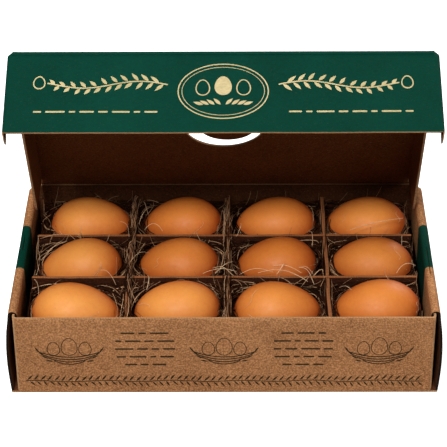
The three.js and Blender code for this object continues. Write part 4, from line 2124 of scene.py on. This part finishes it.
@dataclass
class Straw:
    """Straw round the eggs: a bed in near-black colours that are painted shade, thousands of curved strands
    and a few strays.
    """

    shop: Workshop
    points: int = 11
    bed_low: float = 2.1
    bed_height: float = 40.0
    bed_pitch: float = 1.5
    bundle_reach: float = 5.5
    seed: int = 11
    sizes: BoxSizes = SIZES
    mixes: tuple[StrandMix, ...] = (
        StrandMix("straw_strands", 170, (16, 42), (0.22, 0.38), 0.06),
        StrandMix("straw_wisps", 260, (12, 38), (0.11, 0.19), 0.18),
    )
    bundles: tuple[tuple[str, int, float], ...] = (
        ("column_divider_1", 84, 1.3), ("column_divider_2", 92, 1.5), ("column_divider_3", 3, 1.0))
    strays: tuple[Stray, ...] = STRAYS

    def build(self) -> None:
        """Builds the bed, the strands, the bundles on the dividers and the strays over the eggs."""
        self.rng = np.random.default_rng(self.seed)
        self.cells = [Cell(form) for form in EGGS]
        self._bed()
        for mix in self.mixes:
            self._tubes(mix.name, [self._strand(cell, mix) for cell in self.cells for _ in range(mix.count)])
        self._tubes("straw_on_dividers", self._divider_bundles())
        self._tubes("straw_strays", self._strays(), self.shop.golden)

    def _strand(self, cell: Cell, mix: StrandMix) -> Strand:
        """One strand of a nest.

        Args:
            cell: the room that it lies in.
            mix: its kind.

        Returns:
            The strand.
        """
        rng = self.rng
        kinds = list(StrandKind)
        kind = kinds[rng.choice(len(kinds), p=[each.value for each in kinds])]
        radius, length = rng.uniform(*mix.radius), rng.uniform(*mix.length)
        # painted light and shade: rising strands are always pale, as strands that catch the light, and most
        # others are drawn close to the near-black colour, as painted shade
        pale = kind is StrandKind.RISING or rng.random() < mix.pale_share
        shade = float(rng.uniform(0.6, 1.0) if pale else np.clip(rng.normal(0.13, 0.13), 0, 1))
        angle = rng.uniform(0, 2 * math.pi)
        reach = 1.05 + 0.5 * rng.random() ** 1.3
        height = rng.uniform(39.5, 49.5)
        if kind is StrandKind.ROUND:
            path = cell.lower(self._round_path(cell, length, angle, reach, height))
            return Strand(cell.settle(path, radius), radius, shade)
        heading, climb = rng.uniform(0, 2 * math.pi), rng.normal(0.05, 0.22)
        if kind is StrandKind.RISING:
            climb, height, length = rng.uniform(0.45, 1.0), rng.uniform(42, 47), min(length, 18)
            radius = min(radius, 0.2)
        path = self._free_path(cell.flat(angle, reach, height), heading, climb, length)
        if kind is StrandKind.LOOSE:
            path = cell.lower(path)
        return Strand(cell.settle(path, radius), radius, shade)

    def _round_path(self, cell: Cell, length: float, angle: float, reach: float, height: float) -> np.ndarray:
        """A wavy path that curls round the egg.

        Args:
            cell: the room that it lies in.
            length: its length.
            angle: where it starts round the egg.
            reach: how far out it starts, in egg outlines.
            height: the height that it starts at.

        Returns:
            Rows of places.
        """
        rng = self.rng
        turn = length / (0.5 * (cell.form.half + cell.form.radius) * reach) * rng.choice((-1, 1))
        wander, climb = rng.normal(0, 0.08), rng.normal(0, 3.2)
        wave = rng.uniform(0, 2 * math.pi)
        return np.array([
            cell.flat(angle + turn * t, reach + wander * t, height + climb * t + 1.2 * math.sin(wave + 5 * t))
            for t in np.linspace(0, 1, self.points)
        ])

    def _free_path(self, start: np.ndarray, heading: float, climb: float, length: float) -> np.ndarray:
        """A path that wanders off in a direction.

        Args:
            start: its first place.
            heading: its direction about the vertical.
            climb: its slope.
            length: its length.

        Returns:
            Rows of places.
        """
        rng = self.rng
        bend, sag = rng.normal(0, 0.13), rng.normal(-0.02, 0.06)
        step = length / (self.points - 1)
        path = [start]
        for _ in range(self.points - 1):
            heading += bend + rng.normal(0, 0.12)
            climb += sag + rng.normal(0, 0.07)
            across = step * math.cos(climb)
            move = (across * math.cos(heading), across * math.sin(heading), step * math.sin(climb))
            path.append(path[-1] + np.array(move))
        return np.array(path)

    def _divider_bundles(self) -> list[Strand]:
        """Strands that run along the tops of the column dividers.

        Returns:
            The strands.
        """
        rng = self.rng
        found = []
        low_y, high_y = 2 - self.sizes.wall_inner_y, self.sizes.wall_inner_y - 2
        for node, count, spread in self.bundles:
            low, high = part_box(node)
            middle = (low[0] + high[0]) / 2 / MM
            for _ in range(count):
                radius, length = rng.uniform(0.11, 0.27), rng.uniform(10, 40)
                start = rng.uniform(low_y, high_y - length * 0.7)
                base = self.sizes.divider_top + 0.8 + radius + abs(rng.normal(0, 0.7))
                offset, drift = rng.normal(0, spread), rng.normal(0, 0.09)
                wave, lift, sway_by = rng.uniform(0, 6.3), rng.uniform(0.3, 2.4), rng.uniform(0.3, 1.3)
                path = []
                for t in np.linspace(0, 1, self.points):
                    sway = offset + drift * (t - 0.5) * length + sway_by * math.sin(wave + 5 * t)
                    height = min(self.sizes.egg_top - 1, base + lift * math.sin(math.pi * t))
                    x = middle + np.clip(sway, -self.bundle_reach, self.bundle_reach)
                    path.append((x, min(high_y, start + t * length), height))
                # painted shade: the strands that are not pale are drawn near black, standing in for the shade
                # between the pale ones
                shade = float(rng.uniform(0.7, 1.0) if rng.random() < 0.38 else rng.uniform(0.0, 0.25))
                found.append(Strand(np.array(path), radius, shade))
        return found

    def _strays(self) -> list[Strand]:
        """Thin pale strands that lie over the eggs and across the dividers."""
        over_eggs = [self._over_egg(cell) for cell in self.cells for _ in range(2)]
        return over_eggs + [self._across(stray) for stray in self.strays]

    def _over_egg(self, cell: Cell) -> Strand:
        """A hair-thin strand that clings to an egg.

        Args:
            cell: the egg's room.

        Returns:
            The strand.
        """
        rng, form = self.rng, cell.form
        radius = rng.uniform(0.08, 0.12)
        along = rng.choice((-1, 1)) * rng.uniform(0.45, 0.95)
        tilt = rng.uniform(-1.2, -0.6)
        slide, roll = rng.normal(0, 0.22), rng.uniform(0.3, 0.8) * rng.choice((-1, 1))
        path = []
        for t in np.linspace(0, 1, self.points):
            u = float(np.clip(along + slide * t + 0.05 * math.sin(6 * t), -0.97, 0.97))
            spin = tilt + roll * t
            taper = 1 + 0.11 * form.blunt * u
            swell = form.radius * math.sqrt(1 - u * u) * taper + 0.35 + radius
            path.append((u * (form.half + 0.4), swell * math.sin(spin), swell * math.cos(spin)))
        path = np.array(path) @ cell.turned.T + cell.centre
        path[:, 2] = np.minimum(path[:, 2], self.sizes.egg_top)
        return Strand(path, radius, float(rng.uniform(0.6, 1.0)))

    def _across(self, stray: Stray) -> Strand:
        """A bowed strand that lies on the dividers or against a wall.

        Args:
            stray: where it lies.

        Returns:
            The strand.
        """
        rng = self.rng
        radius = rng.uniform(0.14, 0.24)
        bend, heading = rng.normal(0, 0.07), stray.heading
        count = self.points - 1
        step = stray.length / count
        path = [np.array((stray.x, stray.y, stray.height), float)]
        for i in range(count):
            heading += bend + rng.normal(0, 0.05)
            rise = 1.1 * math.cos(math.pi * (i + 0.5) / count)
            path.append(path[-1] + np.array((step * math.cos(heading), step * math.sin(heading), rise)))
        path = np.clip(np.array(path), (-125, -73, 40), (125, 73, self.sizes.egg_top - radius))
        return Strand(path, radius, float(rng.uniform(0.75, 1.0)))

    def _tubes(self, name: str, strands: Sequence[Strand],
               material: Material | None = None) -> None:
        """Makes one mesh of three-sided tubes with drawn-out ends.

        Args:
            name: the piece's name.
            strands: the strands in it.
            material: its finish, or dry straw.
        """
        sides, rings = 3, self.points
        vertices = np.zeros((len(strands), rings, sides, 3))
        shades = np.zeros((len(strands), rings * sides))
        profile = 0.35 + 0.65 * np.sin(np.linspace(0.12, 0.9, rings) * math.pi) ** 0.5
        for index, strand in enumerate(strands):
            tangent = np.gradient(strand.path, axis=0)
            tangent /= np.maximum(np.linalg.norm(tangent, axis=1, keepdims=True), 1e-6)
            side = np.cross(tangent, np.array([0.13, 0.31, 0.94]))
            side /= np.maximum(np.linalg.norm(side, axis=1, keepdims=True), 1e-6)
            up = np.cross(side, tangent)
            width = strand.radius * profile
            for k in range(sides):
                angle = 2 * math.pi * k / sides
                ring = (side * math.cos(angle) + up * math.sin(angle)) * width[:, None]
                vertices[index, :, k] = strand.path + ring
            shades[index] = strand.shade
        faces: list[Sequence[int]] = []
        for first in range(0, len(strands) * rings * sides, rings * sides):
            last = first + (rings - 1) * sides
            for low in range(first, last, sides):
                faces.extend(rim(low, low + sides, sides))
            faces.extend([(first + 2, first + 1, first), (last, last + 1, last + 2)])
        self._dress(name, vertices.reshape(-1, 3), faces, material or self.shop.straw, shades.reshape(-1))
        log.info("%s has %d strands", name, len(strands))

    @staticmethod
    def _dress(name: str, vertices: Sequence, faces: Sequence, material: Material,
               shades: Sequence[float], *nodes: str) -> None:
        """Makes a straw piece with a shade at each vertex.

        Args:
            name: the piece's name.
            vertices: places in millimetres.
            faces: vertex indices of each face.
            material: its finish.
            shades: the shade of each vertex.
            nodes: the CAD nodes that it replaces.
        """
        piece = new_mesh_object(name, vertices, faces, [material], sharp_degrees=80)
        shade = piece.data.attributes.new(STRAND_SHADE, "FLOAT", "POINT")
        shade.data.foreach_set("value", shades)
        hand_over(piece, "tray", "straw", *nodes)

    def _bed(self) -> None:
        """The matted straw under the strands, hollowed for each egg, in near-black colours that are painted
        shade.
        """
        vertices: list[tuple[float, float, float]] = []
        faces: list[tuple[int, ...]] = []
        shades: list[float] = []
        for cell in self.cells:
            self._bed_of(cell, vertices, faces, shades)
        nests = [f"nest_{form.label}" for form in EGGS]
        self._dress("shaded_straw_bed", vertices, faces, self.shop.bed, shades, *nests)

    def _bed_of(self, cell: Cell, vertices: list, faces: list, shades: list) -> None:
        """Adds one cell's bed as a closed block with an uneven top.

        Args:
            cell: the room that it fills.
            vertices: the mesh's vertices so far.
            faces: the mesh's faces so far.
            shades: the shade of each vertex so far.
        """
        form = cell.form
        wall = self.sizes.wall_inner_x - 0.6
        left = -wall if form.column == 1 else cell.low[0] + 0.2
        right = wall if form.column == 4 else cell.high[0] - 0.2
        xs = steps(left, right, self.bed_pitch)
        ys = steps(cell.low[1] + 0.2, cell.high[1] - 0.2, self.bed_pitch)
        base = len(vertices)
        for x in xs:
            for y in ys:
                rough = noise.noise(Vector((x / 3.1, y / 3.1, form.row))) * 2.0
                rough += noise.noise(Vector((x / 1.3, y / 1.3, 5))) * 1.0
                vertices.append((x, y, self._bed_top(form, x, y, rough)))
                shades.append(float(np.clip(0.35 + 0.25 * rough, 0, 1)))
        rows, columns = len(xs), len(ys)
        for i in range(rows - 1):
            for j in range(columns - 1):
                a = base + i * columns + j
                faces.append((a, a + columns, a + columns + 1, a + 1))
        border = [i * columns for i in range(rows)]
        border += [(rows - 1) * columns + j for j in range(1, columns)]
        border += [i * columns + columns - 1 for i in range(rows - 2, -1, -1)]
        border += list(range(columns - 2, 0, -1))
        foot = len(vertices)
        for index in border:
            x, y, _z = vertices[base + index]
            vertices.append((x, y, self.bed_low))
            shades.append(0.0)
        count = len(border)
        for i in range(count):
            j = (i + 1) % count
            faces.append((foot + i, foot + j, base + border[j], base + border[i]))
        faces.append(tuple(range(foot, foot + count))[::-1])

    def _bed_top(self, form: EggForm, x: float, y: float, rough: float) -> float:
        """Height of the bed at a place.

        Args:
            form: the egg that hollows it.
            x: across the box.
            y: along the box.
            rough: the unevenness there.

        Returns:
            The height.
        """
        centre = form.centre
        offset = form.rotation.transposed() @ Vector((x - centre.x, y - centre.y, 0))
        inside = (offset.x / (form.half + 0.9)) ** 2 + (offset.y / (form.radius + 1.3)) ** 2
        top = self.bed_height + rough + 2.0 * noise.noise(Vector((x / 17, y / 17, 9)))
        if inside < 1:
            top = min(top, centre.z - (form.radius + 1.0) * math.sqrt(1 - inside) - 0.3)
        else:
            top = min(top, centre.z - 1 + 6 * (inside - 1))
        if abs(x) > self.sizes.row_divider_half_length - 0.4:
            top = min(top, 33.5 + rough)
        return max(top, self.bed_low + 1)


@dataclass
class Studio:
    """The camera of the photograph, the soft lights and the pale floor."""

    image_width: float = 447.0
    focal_pixels: float = 1849.9
    position: tuple[float, float, float] = (8.8, -1006.8, 746.5)
    yaw_degrees: float = -0.533
    pitch_degrees: float = 33.51
    roll_degrees: float = -0.407
    aim: tuple[float, float, float] = (0.0, 0.0, 0.05)
    surround_strength: float = 0.06
    floor_glow: float = 0.93
    floor_half: float = 2500.0

    def build(self) -> None:
        """Sets up everything that isn't the object."""
        bpy.context.scene.view_settings.view_transform = "Standard"
        self._camera()
        self._lights()
        self._floor()

    def _camera(self) -> None:
        """Places the camera."""
        degrees = (self.yaw_degrees, self.pitch_degrees, self.roll_degrees)
        yaw, pitch, roll = (math.radians(angle) for angle in degrees)
        forward = Vector((math.sin(yaw) * math.cos(pitch), math.cos(yaw) * math.cos(pitch), -math.sin(pitch)))
        right = Vector((math.cos(yaw), -math.sin(yaw), 0))
        up = right.cross(forward)
        turned_right = right * math.cos(roll) + up * math.sin(roll)
        turned_up = up * math.cos(roll) - right * math.sin(roll)
        data = bpy.data.cameras.new("photo_camera")
        data.sensor_width = 36.0
        data.lens = data.sensor_width * self.focal_pixels / self.image_width
        data.clip_start, data.clip_end = 0.05, 20
        camera = bpy.data.objects.new("photo_camera", data)
        axes = Matrix((turned_right, turned_up, -forward)).transposed().to_4x4()
        camera.matrix_world = Matrix.Translation(Vector(self.position) * MM) @ axes
        bpy.context.scene.collection.objects.link(camera)
        bpy.context.scene.camera = camera

    def _area(self, name: str, place: Vector, size: Point2, power: float, colour: Colour) -> None:
        """Adds a soft area light that looks at the box.

        Args:
            name: the light's name.
            place: where it stands, in metres.
            size: its width and height in metres.
            power: its power in watts.
            colour: its colour.
        """
        data = bpy.data.lights.new(name, "AREA")
        data.shape = "RECTANGLE"
        data.size, data.size_y = size
        data.energy = power
        data.color = colour
        light = bpy.data.objects.new(name, data)
        light.location = place
        light.rotation_mode = "QUATERNION"
        light.rotation_quaternion = (Vector(self.aim) - place).to_track_quat("-Z", "Y")
        bpy.context.scene.collection.objects.link(light)

    def _lights(self) -> None:
        """A soft key from the front, weaker lights above, beside and behind, and a faint surround."""
        warm, neutral = (1.0, 0.98, 0.95), (1.0, 0.99, 0.97)
        self._area("key", Vector((-0.35, -1.40, 1.74)), (0.5, 0.4), 39, warm)
        self._area("overhead", Vector((-0.4, -0.45, 2.0)), (0.9, 0.6), 12, neutral)
        self._area("fill_right", Vector((1.5, -1.3, 1.0)), (0.8, 0.8), 4, neutral)
        self._area("behind", Vector((0.9, 1.9, 1.3)), (1.0, 0.8), 34, neutral)
        self._surround()

    def _surround(self) -> None:
        """A world that is white to the camera and faint as a light."""
        world = bpy.data.worlds.new("surround")
        world.use_nodes = True
        bpy.context.scene.world = world
        chain = NodeChain(world.node_tree)
        dim, bright = world.node_tree.nodes["Background"], chain.add("ShaderNodeBackground")
        for shader, strength in ((dim, self.surround_strength), (bright, 1.0)):
            chain.feed_all(shader.inputs, {"Color": (1, 1, 1), "Strength": strength})
        mixer = chain.add("ShaderNodeMixShader")
        seen = chain.add("ShaderNodeLightPath").outputs["Is Camera Ray"]
        for index, source in enumerate((seen, dim.outputs[0], bright.outputs[0])):
            chain.feed(mixer.inputs[index], source)
        chain.feed(world.node_tree.nodes["World Output"].inputs[0], mixer.outputs[0])

    def _floor(self) -> None:
        """A wide pale floor that is white to the camera."""
        constants = {"Roughness": 0.9, "Specular IOR Level": 0.05, "Emission Color": (1, 1, 1)}
        material, chain, shader = new_material("pale_floor", constants)
        seen = chain.add("ShaderNodeLightPath").outputs["Is Camera Ray"]
        chain.feed(shader["Base Color"], chain.mix(seen, (0.3, 0.3, 0.3), (0.8, 0.8, 0.8)))
        chain.feed(shader["Emission Strength"], chain.math("MULTIPLY", seen, self.floor_glow))
        half, z = self.floor_half, -0.05
        corners = [(-half, -half, z), (half, -half, z), (half, half, z), (-half, half, z)]
        new_mesh_object("floor", corners, [(0, 1, 2, 3)], [material])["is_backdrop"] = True


def lid_angle(frame: dict) -> float:
    """The lid's opening in radians, from its hinge's lower limit."""
    hinge = next(joint for joint in frame["joints"] if joint["name"] == "lid_hinge")
    return -math.radians(hinge["range_deg"][0])


def main(frame: dict) -> None:
    """Builds the studio and every piece of the egg box.
    """
    cad_box = [list(corner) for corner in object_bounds()]
    Studio().build()
    shop = Workshop()
    lid_frame = LidFrame(lid_angle(frame))
    tray = Tray(shop)
    tray.build()
    Dividers(shop).build()
    Lid(shop, lid_frame).build()
    flap_sheet = FrontFlap(shop, lid_frame).build()
    Creases(shop, lid_frame).build()
    FlapPrint(shop, flap_sheet).build()
    WallPrint(shop, tray.front_sheet()).build()
    Eggs(shop).build()
    Straw(shop).build()
    sizes = {"cad": cad_box, "visual": [list(corner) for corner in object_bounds()]}
    log.info("visual box %s", sizes["visual"])


if __name__ == "__main__":
    logging.basicConfig(level=logging.INFO, format="%(name)s: %(message)s")
    main(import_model())
